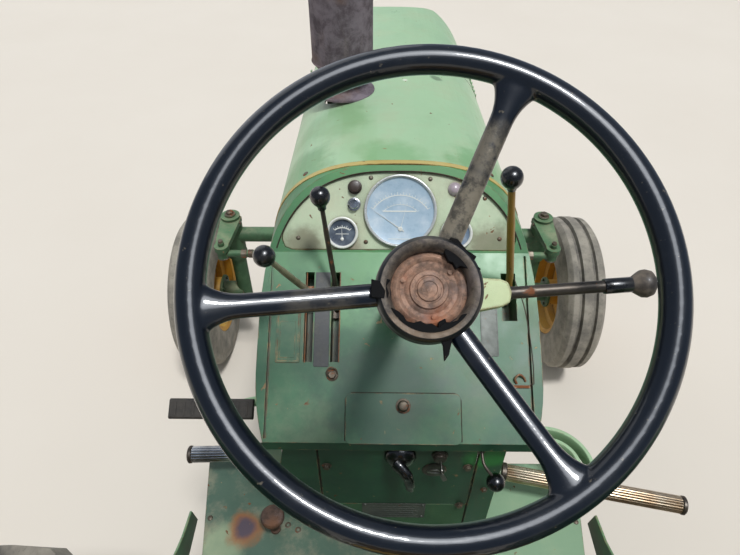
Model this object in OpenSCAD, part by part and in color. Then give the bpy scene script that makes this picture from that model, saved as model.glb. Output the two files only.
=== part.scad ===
// Vintage row-crop farm tractor with an open-sided engine and an open operator's platform.
// X is to the tractor's right, Y is forward, Z is up, in millimetres; the ground is Z = 0.

/* [Layout] */
// Distance between the front and rear axles
wheelbase = 2280; // [2150:10:2450]
// Distance between the middles of the rear tyres
rear_track = 1720; // [1680:10:1900]
// Distance between the middles of the front tyres
front_track = 1746; // [1700:2:1900]
// How far the nose reaches ahead of the front axle
nose_reach = 480; // [440:10:560]

/* [Rear wheels] */
// Outer diameter over the lugs
rear_tyre_d = 1600; // [1540:10:1640]
// Width of the tyre
rear_tyre_w = 430; // [380:10:450]
// Diameter of the rim at the bead
rear_rim_d = 864; // [820:4:900]
// Height of a lug above the carcass
lug_h = 38; // [25:1:45]
// Lugs on each side of the tread
lug_count = 22; // [16:1:24]
// Radius of the axle shaft
axle_shaft_r = 42; // [36:1:48]

/* [Front wheels] */
// Outer diameter over the ribs
front_tyre_d = 745; // [700:5:780]
// Width of the tyre
front_tyre_w = 180; // [170:5:210]
// Diameter of the rim at the bead
front_rim_d = 381; // [360:1:400]
// Height of the tread ribs
rib_h = 14; // [8:1:20]
// Radius of the wheel spindle
spindle_r = 25; // [22:1:28]

/* [Front axle] */
// Distance from a kingpin to the middle of its tyre
kingpin_offset = 180; // [160:5:200]
// Height of the axle beam's middle
beam_z = 720; // [700:5:730]
// Radius of the kingpin
kingpin_r = 24; // [20:1:26]
// Length of the steering arms
steer_arm = 200; // [180:5:210]
// Radius of a tie rod
tie_rod_r = 15; // [12:1:18]

/* [Chassis] */
// Half width of the transmission case
case_half_w = 166; // [156:2:180]
// Top of the transmission case under the seat
case_top = 1060; // [1000:5:1080]
// Bottom of the transmission case
case_bottom = 530; // [500:5:560]
// Half width over the side rails
rail_half_w = 232; // [220:2:240]
// Bottom of the side rails
rail_bottom = 870; // [860:2:890]
// Height of a side rail
rail_h = 150; // [120:5:170]
// Thickness of a side rail
rail_t = 26; // [16:2:30]

/* [Engine] */
// Length of the engine block
block_len = 660; // [600:10:700]
// Half width of the engine block
block_half_w = 150; // [130:2:160]
// Number of cylinders
cylinders = 4; // [3:1:4]
// Radius of the fan
fan_r = 205; // [180:5:215]

/* [Hood] */
// Half width of the hood and the cowl
hood_half_w = 290; // [280:2:300]
// Height of the rounded part of the hood's section
hood_round = 270; // [240:5:300]
// Fullness of the rounded part
hood_full = 2.7; // [2.2:0.1:4]
// Top of the hood at the dash
hood_top = 1664; // [1630:2:1690]
// Top of the hood at the nose
nose_top = 1604; // [1580:2:1620]
// Height of the hood from its lower edge to its top at the dash
hood_side = 334; // [300:2:350]
// Thickness of the sheet metal
sheet_t = 6; // [4:1:8]
// Diameter of the muffler
muffler_d = 158; // [130:2:180]
// Top of the exhaust pipe
exhaust_top = 2380; // [2250:10:2500]

/* [Operator station] */
// Height of the steering wheel's middle
sw_z = 1934; // [1910:2:1960]
// Radius of the steering wheel over the rim
sw_r = 229; // [205:1:235]
// Radius of the steering wheel rim's section
sw_rim_r = 14; // [12:1:18]
// Tilt of the steering wheel from level
sw_tilt = 40; // [35:1:43]
// Height of the foot deck
deck_z = 850; // [830:5:870]
// Half width of the foot deck at its front
deck_half_w = 508; // [490:2:520]
// Slope of the console's face from level
console_slope = 35; // [33:1:37]
// Slope of the instrument panel from level
panel_slope = 50; // [48:1:52]

/* [Rear hitch] */
// Length of a lower link between its eyes
link_len = 910; // [880:5:940]
// Radius of the hole in a lower link's rear ball
link_hole_r = 14.3; // [11:0.1:18.5]
// Radius of the hole in the drawbar
drawbar_hole_r = 16; // [12:0.5:18]
// Thickness of the drawbar
drawbar_t = 32; // [28:1:40]
// Radius of the power take-off shaft
pto_r = 17.5; // [15:0.5:22]
// Radius of the top link's hole
top_link_hole_r = 12.9; // [9:0.1:16]

/* [Hidden] */
$fn = 48;

green = [0.25, 0.48, 0.27];
yellow = [0.85, 0.62, 0.12];
rust = [0.33, 0.22, 0.18];
black = [0.05, 0.05, 0.06];
steel = [0.55, 0.55, 0.53];

run = 0.1;       // running clearance of a pin in its bore
seat_gap = 0.3;  // gap between faces that turn on each other
root = 10;       // how far a boss reaches into the casting that it stands on

// places along the tractor
link_eye_r = 40;
rear_reach = link_len - 60 + link_eye_r;
rear_y = -(nose_reach + wheelbase - rear_reach) / 2;
front_y = rear_y + wheelbase;
nose_y = front_y + nose_reach;
rear_z = rear_tyre_d / 2;
front_z = front_tyre_d / 2;

// the driver's reference point, which the dash and the controls are placed from
driver_y = rear_y + 620;
sw_y = driver_y + 11;
dash_y = driver_y + 683;
lip_y = driver_y + 562;
console_y = driver_y + 243;
lip_z = hood_top - (dash_y - lip_y) * tan(panel_slope);
console_z = lip_z - (lip_y - console_y) * tan(console_slope);
console_len = (lip_y - console_y) / cos(console_slope);
panel_len = (dash_y - lip_y) / cos(panel_slope);

// the engine and what lies ahead of it
engine_y = dash_y + 6;
engine_end = engine_y + block_len;
crank_z = 830;
head_z = 1150;
fan_shaft_r = 12;
fan_y = engine_end + 90;
fan_z = 1255;
radiator_y = fan_y + 75;
stack_x = -138;
stack_y = driver_y + 1105;
grille_y = nose_y - 45;
hood_end = grille_y - 140;
hood_foot = hood_top - hood_side;
nose_len = 420;
rail_y0 = engine_y - 40;
rail_y1 = nose_y - 70;
tie_z = beam_z + 82;
rail_top = rail_bottom + rail_h;

// the cowl's underside and what stands below it
hump_top = 1010;
cowl_foot = rail_top + 10;
cowl_knee_y = dash_y - 150;
riser_y = console_y + 17;

// the front wheels' kingpins
kingpin_x = front_track / 2 - kingpin_offset;

// the hitch
case_tail = rear_y - 235;
link_pivot = [rear_y + 60, 560];
link_x0 = 250;
link_x1 = 412;
lift_pivot = [rear_y - 170, 1000];
lift_x = 300;
lift_len = 330;
pto_z = 640;
top_link_z = 890;
deck_y0 = rear_y + 330;
deck_y1 = driver_y + 457;

// Half of a superellipse, as the section of a hood: half width w, height h and fullness n
function arch(w, h, n, steps) = [
    for (i = [0:steps])
        let (a = 180 - 180 * i / steps)
        [sign(cos(a)) * w * pow(abs(cos(a)), 2 / n), h * pow(abs(sin(a)), 2 / n)]
];

// Half of a tyre's section, from its bead to its tread, as [radius, half width]: bead radius r0,
// tread radius r1 and widest half width w, on a rim of half width rim_half with flanges this high
function tyre_side(r0, r1, w, rim_half, flange) = concat(
    [[r0, rim_half - 4.5], [r0 + flange + 0.5, rim_half + 1.5]],
    [
        for (i = [0:10])
            let (t = i / 10, m = 0.42, rf = r0 + flange + 1.5, b = rim_half + 11)
            [rf + (r1 - rf) * t, t < m ? w - (w - b) * pow((m - t) / m, 2)
                : w * pow(1 - pow((t - m) / (1.02 - m), 3.6), 1 / 2.6)]
    ]
);

// The same points on the other side, in the order that closes a section
function other_side(points) = [for (i = [len(points) - 1:-1:0]) [points[i][0], -points[i][1]]];

module along_x(x0, x1, r) {
    translate([min(x0, x1), 0, 0]) rotate([0, 90, 0]) cylinder(r = r, h = abs(x1 - x0));
}

module along_y(y0, y1, r) {
    translate([0, max(y0, y1), 0]) rotate([90, 0, 0]) cylinder(r = r, h = abs(y1 - y0));
}

module block(x0, x1, y0, y1, z0, z1) {
    translate([min(x0, x1), min(y0, y1), min(z0, z1)])
        cube([abs(x1 - x0), abs(y1 - y0), abs(z1 - z0)]);
}

module both_sides() {
    children();
    mirror([1, 0, 0]) children();
}

// A side view outline in [y, z], as thick as x0 to x1
module side_plate(outline, x0, x1) {
    translate([x0, 0, 0]) rotate([90, 0, 90]) linear_extrude(x1 - x0) polygon(outline);
}

// A straight round bar between two points
module bar(a, b, r) {
    d = b - a;
    n = norm(d);
    translate(a) rotate([0, acos(d[2] / n), atan2(d[1], d[0])]) cylinder(r = r, h = n);
}

// Wheels

rim_share = 0.4;   // half width of a rim as a share of its tyre's width
rear_flange = 24;
front_flange = 16;

module at_rear(side) {
    translate([side * rear_track / 2, rear_y, rear_z]) children();
}

module lug_band() {
    r0 = rear_z - lug_h - 8;
    half = rear_tyre_w / 2;
    rotate([0, 90, 0]) rotate_extrude($fn = 96)
        polygon([
            [r0 - 40, -half + 6], [rear_z - 26, -half + 2], [rear_z - 5, -half * 0.8],
            [rear_z, -half * 0.3], [rear_z, half * 0.3], [rear_z - 5, half * 0.8],
            [rear_z - 26, half - 2], [r0 - 40, half - 6]
        ]);
}

module lug_bars() {
    half = rear_tyre_w / 2;
    lug_w = 46;
    step = 360 / lug_count;
    for (i = [0:lug_count - 1], s = [-1, 1])
        rotate([(i + (s + 1) / 4) * step, 0, 0])
            translate([0, 0, rear_z - lug_h - 60])
                linear_extrude(lug_h + 80)
                    polygon([
                        [s * -14, -lug_w * 0.2], [s * 30, -lug_w * 0.9], [s * half, -lug_w * 3.1],
                        [s * half, -lug_w * 1.75], [s * 40, lug_w * 0.45], [s * -14, lug_w * 0.8]
                    ]);
}

module rear_tyre(side) {
    flank = tyre_side(rear_rim_d / 2, rear_z - lug_h, rear_tyre_w / 2, rear_tyre_w * rim_share, rear_flange);
    color(black) at_rear(side) {
        rotate([0, 90, 0]) rotate_extrude($fn = 96) polygon(concat(flank, other_side(flank)));
        intersection() {
            lug_band();
            lug_bars();
        }
    }
}

module rim_barrel(r_bead, half, flange, drop, wall) {
    rotate([0, 90, 0]) rotate_extrude($fn = 96)
        polygon([
            [r_bead + flange, -half - 10], [r_bead + flange, -half - 2], [r_bead, -half + 4],
            [r_bead, -half * 0.45], [r_bead - drop, -half * 0.3], [r_bead - drop, half * 0.3],
            [r_bead, half * 0.45], [r_bead, half - 4], [r_bead + flange, half + 2],
            [r_bead + flange, half + 10], [r_bead - wall, half + 2], [r_bead - wall, half * 0.47],
            [r_bead - drop - wall, half * 0.32], [r_bead - drop - wall, -half * 0.32],
            [r_bead - wall, -half * 0.47], [r_bead - wall, -half - 2]
        ]);
}

module rear_rim(side) {
    r_bead = rear_rim_d / 2;
    half = rear_tyre_w * rim_share;
    hub_r = 105;
    color(yellow) at_rear(side) mirror([side > 0 ? 0 : 1, 0, 0]) {
        rim_barrel(r_bead, half, rear_flange, 34, 9);
        difference() {
            rotate([0, 90, 0]) rotate_extrude($fn = 96)
                polygon([
                    [hub_r - 20, -30], [hub_r + 60, -30], [r_bead - 90, 40], [r_bead - 38, 40],
                    [r_bead - 38, 54], [r_bead - 96, 54], [hub_r + 56, -14], [hub_r - 20, -14]
                ]);
            for (i = [0:7]) rotate([i * 45, 0, 0]) translate([-60, 0, 265]) along_x(0, 160, 34);
        }
        difference() {
            union() {
                along_x(-90, 60, hub_r);
                along_x(60, 74, hub_r - 30);
                for (i = [0:7]) rotate([i * 45 + 22.5, 0, 0]) translate([0, 0, 140]) along_x(-32, 4, 13);
            }
            along_x(-100, 100, axle_shaft_r);
        }
        along_x(-rear_track / 2 + 540, 150, axle_shaft_r);
    }
}

module at_front(side) {
    translate([side * front_track / 2, front_y, front_z]) children();
}

// The tread of a front tyre, from its shoulder to its middle: three ribs with grooves between them
function front_tread(r1, w) = [
    [r1 - rib_h - 12, w * 0.90], [r1 - 10, w * 0.76], [r1 - 5, w * 0.70], [r1 - 4, w * 0.46],
    [r1 - rib_h - 4, w * 0.40], [r1 - rib_h - 4, w * 0.28], [r1, w * 0.22]
];

module front_tyre(side) {
    r1 = front_tyre_d / 2;
    half = front_tyre_w / 2;
    flank = tyre_side(front_rim_d / 2, r1 - rib_h - 4, half, front_tyre_w * rim_share, front_flange);
    wall = concat([for (p = flank) if (p[0] < r1 - rib_h - 24) p], front_tread(r1, half));
    color(black) at_front(side) rotate([0, 90, 0]) rotate_extrude($fn = 96)
        polygon(concat(wall, other_side(wall)));
}

module front_rim(side) {
    r_bead = front_rim_d / 2;
    half = front_tyre_w * rim_share;
    color(yellow) at_front(side) mirror([side > 0 ? 0 : 1, 0, 0]) {
        rim_barrel(r_bead, half, front_flange, 20, 6);
        rotate([0, 90, 0]) rotate_extrude($fn = 96)
            polygon([
                [60, 34], [98, 34], [r_bead - 42, 8], [r_bead - 22, 8], [r_bead - 22, 20],
                [r_bead - 40, 20], [102, 46], [60, 46]
            ]);
        difference() {
            union() {
                along_x(-70, 62, 62);
                along_x(62, 84, 40);
                for (i = [0:5]) rotate([i * 60, 0, 0]) translate([0, 0, 82]) along_x(40, 58, 10);
            }
            along_x(-80, 50, spindle_r + run);
        }
    }
}

// Front axle and steering

module front_axle() {
    boss_h = 150;
    color(green) {
        difference() {
            union() {
                translate([0, front_y, beam_z]) {
                    block(-470, 470, -42, 42, -45, 45);
                    both_sides() along_x(470, kingpin_x - 20, 34);
                    both_sides() along_x(455, 500, 48);
                }
                both_sides() translate([kingpin_x, front_y, beam_z - boss_h / 2 - 20])
                    cylinder(r = kingpin_r + 20, h = boss_h);
            }
            both_sides() translate([kingpin_x, front_y, beam_z - boss_h])
                cylinder(r = kingpin_r + run, h = boss_h * 2);
        }
    }
}

boss_top = beam_z + 55;
boss_foot = beam_z - 95;

module knuckle(side) {
    foot = front_z - 52;
    tube_r = kingpin_r + 10;
    arm_z = tie_z - 12;
    color(green) translate([side * kingpin_x, front_y, 0]) mirror([side > 0 ? 0 : 1, 0, 0]) {
        translate([0, 0, front_z]) cylinder(r = kingpin_r, h = tie_z + 30 - front_z);
        translate([0, 0, foot]) cylinder(r = tube_r, h = boss_foot - seat_gap - foot);
        translate([0, 0, boss_foot - seat_gap - 22]) cylinder(r = tube_r + 12, h = 22);
        translate([0, 0, front_z]) {
            along_x(0, 96, 44);
            along_x(96, 106, 74);
            along_x(106, front_track / 2 - kingpin_x + 48, spindle_r);
            for (a = [45:90:315]) rotate([a, 0, 0]) translate([0, 0, 60]) along_x(88, 108, 8);
        }
        translate([0, 0, boss_top + seat_gap]) cylinder(r = tube_r + 8, h = tie_z + 24 - boss_top);
        translate([0, 0, arm_z]) linear_extrude(24)
            polygon([[-46, 10], [-40, -70], [-27, -steer_arm], [27, -steer_arm], [34, -110], [44, 10]]);
        translate([0, -steer_arm, arm_z]) cylinder(r = 30, h = 24);
        translate([0, -steer_arm, arm_z + 24]) cylinder(r = 13, h = 16);
    }
}

tie_drop = 12 + seat_gap;
tie_x = 30;

module tie_rod(side) {
    color(green) translate([0, front_y - steer_arm, tie_z - tie_drop]) {
        x0 = side * tie_x;
        x1 = side * kingpin_x;
        translate([0, 0, -tie_rod_r - 4]) along_x(x0, x1, tie_rod_r);
        for (x = [x0, x1]) translate([x, 0, -2 * tie_rod_r - 8]) cylinder(r = 24, h = 2 * tie_rod_r + 8);
    }
}

module steering_arm() {
    color(green) translate([0, front_y, tie_z - 12]) {
        cylinder(r = 42, h = 24);
        translate([0, 0, 24]) cylinder(r = 30, h = rail_bottom - tie_z + 80);
        block(-20, 20, -steer_arm, 0, 0, 24);
        block(-tie_x - 26, tie_x + 26, -steer_arm - 26, -steer_arm + 26, 0, 24);
    }
}

module front_support() {
    inner = rail_half_w - rail_t;
    yoke = 42;
    color(green) difference() {
        union() {
            block(-inner, inner, front_y - 190, rail_y1, rail_bottom, rail_top);
            block(-inner - 14, inner + 14, rail_y1, nose_y, rail_bottom + 20, rail_top - 20);
            block(-140, 140, front_y - yoke - 20, front_y + yoke + 20, beam_z - 62, rail_bottom);
            translate([0, front_y, beam_z]) along_y(-yoke - 28, yoke + 28, 28);
        }
        block(-120, 120, front_y - 70, front_y + 70, boss_top, rail_bottom);
        block(-150, 150, front_y - yoke, front_y + yoke, beam_z - 70, boss_top);
        translate([0, front_y, rail_bottom - 1]) cylinder(r = 30 + run, h = 101);
        for (x = [-150:100:150]) translate([x, nose_y + 10, rail_bottom + 75]) rotate([90, 0, 0])
            cylinder(r = 14, h = 30);
    }
}

module side_frame() {
    color(green) both_sides() {
        block(rail_half_w - rail_t, rail_half_w, rail_y0, rail_y1, rail_bottom, rail_top);
        block(block_half_w, rail_half_w - rail_t, engine_y + 20, engine_y + 110,
            rail_bottom + 20, rail_bottom + rail_h - 20);
        block(block_half_w, rail_half_w - rail_t, engine_end - 110, engine_end - 20,
            rail_bottom + 20, rail_bottom + rail_h - 20);
    }
}

// Engine and drive line

module transmission_case() {
    color(green) difference() {
        union() {
            side_plate([
                [case_tail, case_bottom + 90], [case_tail + 60, case_bottom],
                [engine_y - 260, case_bottom], [engine_y - 200, 600], [engine_y, 600],
                [engine_y, hump_top], [riser_y, hump_top], [riser_y, deck_z - 5],
                [deck_y0, deck_z - 5], [deck_y0 - 40, case_top], [case_tail, case_top]
            ], -case_half_w, case_half_w);
            translate([0, rear_y, rear_z]) both_sides() along_x(case_half_w - root, case_half_w + 26, 205);
            translate([0, case_tail, pto_z]) along_y(-27, root, 62);
            translate([0, lift_pivot[0], lift_pivot[1]]) both_sides() along_x(case_half_w - root, 250, 52);
            translate([0, link_pivot[0], link_pivot[1]]) both_sides()
                along_x(case_half_w - root, link_x0 + 40, 16);
            both_sides() block(28, 46, case_tail - 66, case_tail + root, top_link_z - 34, top_link_z + 34);
        }
        translate([0, lift_pivot[0], lift_pivot[1]]) along_x(-260, 260, 32 + run);
        translate([0, case_tail - 34, top_link_z]) along_x(-60, 60, top_link_hole_r);
    }
}

// Height of the cowl's sloping underside at a place along the tractor
function cowl_under(y) = console_z - 26
    + (cowl_foot - console_z + 26) * (y - console_y) / (cowl_knee_y - console_y);

module riser() {
    color(green) side_plate([
        [riser_y, hump_top], [riser_y, cowl_under(riser_y) - seat_gap], [cowl_knee_y, cowl_foot - seat_gap],
        [dash_y, cowl_foot - seat_gap], [dash_y, hump_top]
    ], -case_half_w, case_half_w);
}

module axle_housings() {
    x0 = case_half_w + 26;
    color(green) both_sides() difference() {
        translate([0, rear_y, rear_z]) {
            rotate([0, 90, 0]) rotate_extrude()
                polygon([[0, x0], [190, x0], [190, x0 + 24], [140, x0 + 46], [96, 500], [112, 520],
                    [112, 560], [0, 560]]);
            block(fender_x0 - 40, fender_x0, -60, 60, 80, 260);
        }
        translate([0, rear_y, rear_z]) along_x(500, 600, axle_shaft_r + run);
    }
}

module engine_block() {
    color(green) {
        block(-block_half_w, block_half_w, engine_y, engine_end, 690, head_z);
        block(-block_half_w + 30, block_half_w - 30, engine_y + 20, engine_end - 20, 570, 690);
        translate([0, 0, crank_z]) along_y(engine_end, engine_end + 60, 85);
    }
}

shroud_r = fan_r + 22;
hose_r = 16;
hose_z = fan_z + shroud_r + hose_r + 1;

module cylinder_head() {
    cover_z = head_z + 110;
    hose_y = engine_end - 50;
    color(green) {
        block(-block_half_w + 10, block_half_w - 10, engine_y + 20, engine_end - 10, head_z, cover_z);
        translate([0, engine_end - 90, 0]) rotate([90, 0, 0]) linear_extrude(block_len - 130)
            polygon([[-72, cover_z], [-66, cover_z + 62], [-52, cover_z + 76], [72, cover_z + 76],
                [86, cover_z + 62], [92, cover_z]]);
        for (i = [0:2]) translate([10, engine_y + 110 + i * (block_len - 240) / 2, cover_z + 76])
            cylinder(r = 16, h = 12);
    }
    color(black) {
        translate([10, hose_y, cover_z]) cylinder(r = hose_r, h = hose_z - cover_z);
        translate([10, hose_y, hose_z]) sphere(r = hose_r + 3);
        translate([10, 0, hose_z]) along_y(hose_y, radiator_y, hose_r);
    }
    color(green) difference() {
        translate([0, 0, fan_z]) along_y(engine_end - 10, fan_y - 56, 44);
        translate([0, 0, fan_z]) along_y(engine_end - 4, fan_y, fan_shaft_r + run);
    }
}

module exhaust_manifold() {
    z = head_z + 55;
    pitch = (block_len - 120) / cylinders;
    color(rust) {
        for (i = [0:cylinders - 1])
            translate([0, engine_y + 90 + i * pitch, z]) along_x(-block_half_w + 10 - 60, -block_half_w + 10, 26);
        translate([-block_half_w - 50, 0, z]) along_y(engine_y + 60, engine_y + 120 + (cylinders - 1) * pitch, 32);
        translate([-block_half_w - 50, stack_y - 100, z]) sphere(r = 44);
        bar([-block_half_w - 50, stack_y - 100, z], [stack_x, stack_y, hood_top - 140], 27);
        translate([stack_x, stack_y, hood_top - 140]) sphere(r = 37);
        translate([stack_x, stack_y, hood_top - 140]) cylinder(r = 30, h = 115);
    }
}

// Side, along the engine from, to, across, height and radius of each accessory's body
ACCESSORIES = [
    [1, 90, 250, 58, 1085, 52], [1, 330, 400, 50, 1080, 34], [1, 420, 490, 50, 1080, 34],
    [1, 545, 650, 62, 1085, 58], [-1, 470, 630, 54, 1088, 50]
];

module engine_accessories() {
    x = block_half_w;
    color(steel) for (a = ACCESSORIES) mirror([a[0] > 0 ? 0 : 1, 0, 0]) {
        translate([x + a[3], 0, a[4]]) along_y(engine_y + a[1], engine_y + a[2], a[5]);
        block(x, x + a[3], engine_y + a[1] + 20, engine_y + a[2] - 20, a[4] - a[5] * 0.7, a[4]);
    }
}

module radiator() {
    w = 222;
    top = nose_top - 84;
    color(green) {
        difference() {
            block(-w, w, radiator_y, radiator_y + 80, rail_top, top);
            block(-w + 30, w - 30, radiator_y - 10, radiator_y + 20, rail_top + 50, top - 70);
        }
        translate([0, 0, fan_z]) difference() {
            along_y(radiator_y - 60, radiator_y, shroud_r);
            along_y(radiator_y - 70, radiator_y + 1, shroud_r - 10);
        }
    }
}

module fuel_tank() {
    w = 190;
    top = nose_top - 90;
    color(green) {
        block(-w, w, radiator_y + 110, hood_end - 50, rail_top, top);
        translate([0, (radiator_y + hood_end) / 2, top]) cylinder(r = 40, h = 45);
    }
}

module fan() {
    color(green) translate([0, fan_y, fan_z]) {
        along_y(-50, 14, 30);
        along_y(-88, -50, fan_shaft_r);
        for (i = [0:5]) rotate([0, i * 60, 0]) rotate([0, 0, 28])
            block(-32, 32, -3, 3, 20, fan_r);
    }
}

// Hood, grille and exhaust

// Top of the hood at a place along the tractor
function hood_z(y) = hood_top - (hood_top - nose_top) * (y - dash_y) / (hood_end - dash_y);

// The hood's section, drawn in by an inset, with straight sides down to a foot
function hood_outline(top, foot, inset) = concat(
    [[-hood_half_w + inset, foot]],
    [for (p = arch(hood_half_w - inset, hood_round - inset, hood_full, 36)) p + [0, top - hood_round]],
    [[hood_half_w - inset, foot]]
);

module hood_slice(y, top, foot, inset) {
    translate([0, y, 0]) rotate([90, 0, 0]) linear_extrude(1) polygon(hood_outline(top, foot, inset));
}

// The hood and the nose as one closed body, drawn in by an inset
module hood_body(foot, inset) {
    front = grille_y - inset;
    back = inset > 0 ? dash_y - 5 : dash_y;
    start = grille_y - nose_len;
    round = 170;
    intersection() {
        hull() {
            hood_slice(back + 1, hood_top, foot, inset);
            hood_slice(grille_y + 20, hood_z(grille_y + 19), foot, inset);
        }
        translate([0, 0, foot - 1]) linear_extrude(1000)
            polygon(concat([[-400, back], [-400, start]],
                [for (p = arch(hood_half_w - inset, front - start, 2.3, 30)) p + [0, start]],
                [[400, start], [400, back]]));
        side_plate(concat([[back, foot], [front, foot]],
            [for (a = [0:15:90]) [front - round + round * cos(a), nose_top - round - inset + (round + 6) * sin(a)]],
            [[front - round, 2000], [back, 2000]]), -400, 400);
    }
}

grille_half_w = 205;
grille_top = nose_top - 96;

module hood() {
    color(green) difference() {
        hood_body(hood_foot, 0);
        hood_body(hood_foot - 10, sheet_t);
        translate([stack_x, stack_y, hood_top - 200]) cylinder(r = 52, h = 400);
        block(-grille_half_w, grille_half_w, grille_y - 150, grille_y + 20, hood_foot - 10, grille_top);
    }
}

module grille() {
    z0 = rail_top + 46;
    bars = 14;
    pitch = (grille_top - 12 - z0) / bars;
    bar_in = sheet_t + seat_gap;
    color(green) {
        difference() {
            hood_body(rail_top, 0);
            hood_body(rail_top - 10, sheet_t + 2);
            block(-500, 500, dash_y - 10, hood_end - 40, rail_top - 20, 2000);
            block(-500, 500, dash_y, grille_y + 20, hood_foot - seat_gap, 2000);
            block(-grille_half_w, grille_half_w, grille_y - 150, grille_y + 20, z0, 2000);
            both_sides() block(hood_half_w - 120, 500, hood_end, hood_end + 60, z0 + 20, hood_foot - 40);
        }
        difference() {
            hood_body(rail_top, bar_in);
            hood_body(rail_top - 10, bar_in + 12);
            block(-500, 500, dash_y - 10, grille_y - 180, rail_top - 20, 2000);
            both_sides() block(grille_half_w + 14, 500, dash_y - 10, grille_y + 20, rail_top - 20, 2000);
            block(-500, 500, dash_y, grille_y + 20, grille_top + 12, 2000);
            for (i = [0:bars - 1])
                both_sides() block(9, 500, dash_y, grille_y + 20, z0 + i * pitch, z0 + (i + 0.62) * pitch);
        }
    }
}

module muffler() {
    z0 = hood_top + 14;
    color(rust) translate([stack_x, stack_y, 0]) {
        translate([0, 0, hood_top - 25]) cylinder(r = 36, h = 80);
        rotate_extrude()
            polygon([
                [0, z0 + 20], [40, z0 + 20], [muffler_d / 2 - 8, z0 + 34], [muffler_d / 2, z0 + 46],
                [muffler_d / 2, z0 + 470], [muffler_d / 2 - 8, z0 + 482], [38, z0 + 500], [0, z0 + 500]
            ]);
        difference() {
            translate([0, 0, z0 + 498]) cylinder(r = 34, h = exhaust_top - z0 - 498);
            translate([0, 0, z0 + 540]) cylinder(r = 30, h = exhaust_top);
        }
    }
}

// Operator's station

// Places children on the console's face: x to the right, y up its slope, z out of it
module on_console() {
    translate([0, console_y, console_z]) rotate([console_slope, 0, 0]) children();
}

module on_panel() {
    translate([0, lip_y, lip_z]) rotate([panel_slope, 0, 0]) children();
}

module on_wheel() {
    translate([0, sw_y, sw_z]) rotate([sw_tilt, 0, 0]) children();
}

module cowl() {
    foot = cowl_foot - 5;
    corner = 110;
    color(green) difference() {
        intersection() {
            side_plate([
                [dash_y, hood_top], [lip_y, lip_z], [console_y, console_z],
                [console_y, console_z - 26], [cowl_knee_y, cowl_foot], [dash_y, cowl_foot]
            ], -hood_half_w, hood_half_w);
            translate([0, dash_y + 1, 0]) rotate([90, 0, 0]) linear_extrude(900)
                polygon(hood_outline(hood_top, foot, 0));
            translate([0, 0, foot]) linear_extrude(900)
                polygon(concat(console_side(-1, corner), [[-hood_half_w, dash_y], [hood_half_w, dash_y]],
                    [for (i = [5:-1:0]) console_side(1, corner)[i]]));
        }
        panel_recess(-panel_depth, 60, 0);
        both_sides() on_console() block(hood_half_w - 26, hood_half_w - 22, 8, console_len - 6, -8, 30);
        on_console() for (l = LEVERS) block(l[0] - l[5], l[0] + l[5], l[3], l[4], -slot_depth, 30);
        on_console() block(-232, -206, 165, 262, -5, 30);
        column_shaft();
    }
}

// Plan of the console's side, curving in toward the driver, as [x, y]
function console_side(side, corner) = [
    for (i = [0:5]) let (t = 1 - i / 5) [side * (hood_half_w - 20 * t * t), console_y + corner * (1 - t)]
];

// The D-shaped recess of the instrument panel, between two depths, drawn in by an inset
module panel_recess(z0, z1, inset) {
    w = 248 - inset;
    intersection() {
        on_panel() translate([0, 0, z0]) linear_extrude(z1 - z0)
            polygon([[-w + 20, 5 + inset], [w - 20, 5 + inset], [w - 6, 11 + inset], [w, 25 + inset],
                [w, 260], [-w, 260], [-w, 25 + inset], [-w + 6, 11 + inset]]);
        translate([0, dash_y + 200, 0]) rotate([90, 0, 0]) linear_extrude(600)
            polygon(hood_outline(hood_top, cowl_foot, 14 + inset));
    }
}

module instrument_panel() {
    color(green) panel_recess(-panel_depth, -panel_depth + 5, 0.5);
}

// Each dial's and button's place across the panel, up it, and its radius
GAUGES = [[0, 87, 77], [-122, 41, 34], [122, 41, 34]];
BUTTONS = [[-104, 137, 12], [-104, 101, 11], [108, 132, 12]];

module gauges() {
    color(steel) on_panel() {
        for (g = GAUGES) translate([g[0], g[1], -5]) difference() {
            cylinder(r = g[2], h = 12);
            translate([0, 0, 7]) cylinder(r = g[2] - 6, h = 10);
        }
        for (b = BUTTONS) translate([b[0], b[1], -5]) cylinder(r = b[2], h = 16);
    }
}

panel_depth = 10;
slot_depth = 60;
knob_r = 19;
column_r = 30;
column_bend = 165;  // from the wheel's middle down to where the column bends
column_slope = 45;
column_len = 560;
wheel_shaft_r = 11;

// Across, up the console at the face and at the foot, slot from and to, slot half width, knob
LEVERS = [
    [-186, 300, 290, 158, 345, 9, [-237, driver_y + 367, 1670]],
    [-131, 310, 268, 158, 345, 9, [-153, driver_y + 514, 1692]],
    [229, 325, 300, 245, 345, 15, [175, driver_y + 444, 1778]]
];

function console_point(x, up, out) = [
    x,
    console_y + up * cos(console_slope) - out * sin(console_slope),
    console_z + up * sin(console_slope) + out * cos(console_slope)
];

module control_levers() {
    r = 7;
    for (l = LEVERS) {
        elbow = console_point(l[0], l[1], 12);
        color(steel) {
            on_console() block(l[0] - 8.5, l[0] + 8.5, l[2] - 14, l[2] + 14, -slot_depth, -slot_depth + 16);
            bar(console_point(l[0], l[2], -slot_depth + 8), elbow, r);
            translate(elbow) sphere(r = r + 2);
            bar(elbow, l[6], r);
        }
        color(black) translate(l[6]) sphere(r = knob_r);
    }
}

// The column's lower part, from where it bends into the cowl
module column_shaft() {
    bend = [0, sw_y + column_bend * sin(sw_tilt), sw_z - column_bend * cos(sw_tilt)];
    bar(bend, bend + column_len * [0, cos(column_slope), -sin(column_slope)], column_r);
}

module steering_column() {
    color(green) {
        on_wheel() difference() {
            union() {
                translate([0, 0, -column_bend]) cylinder(r = column_r, h = column_bend - 70);
                translate([0, 0, -column_bend]) sphere(r = column_r + 4);
            }
            translate([0, 0, -116]) cylinder(r = wheel_shaft_r + run, h = 100);
        }
        column_shaft();
    }
}

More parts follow.
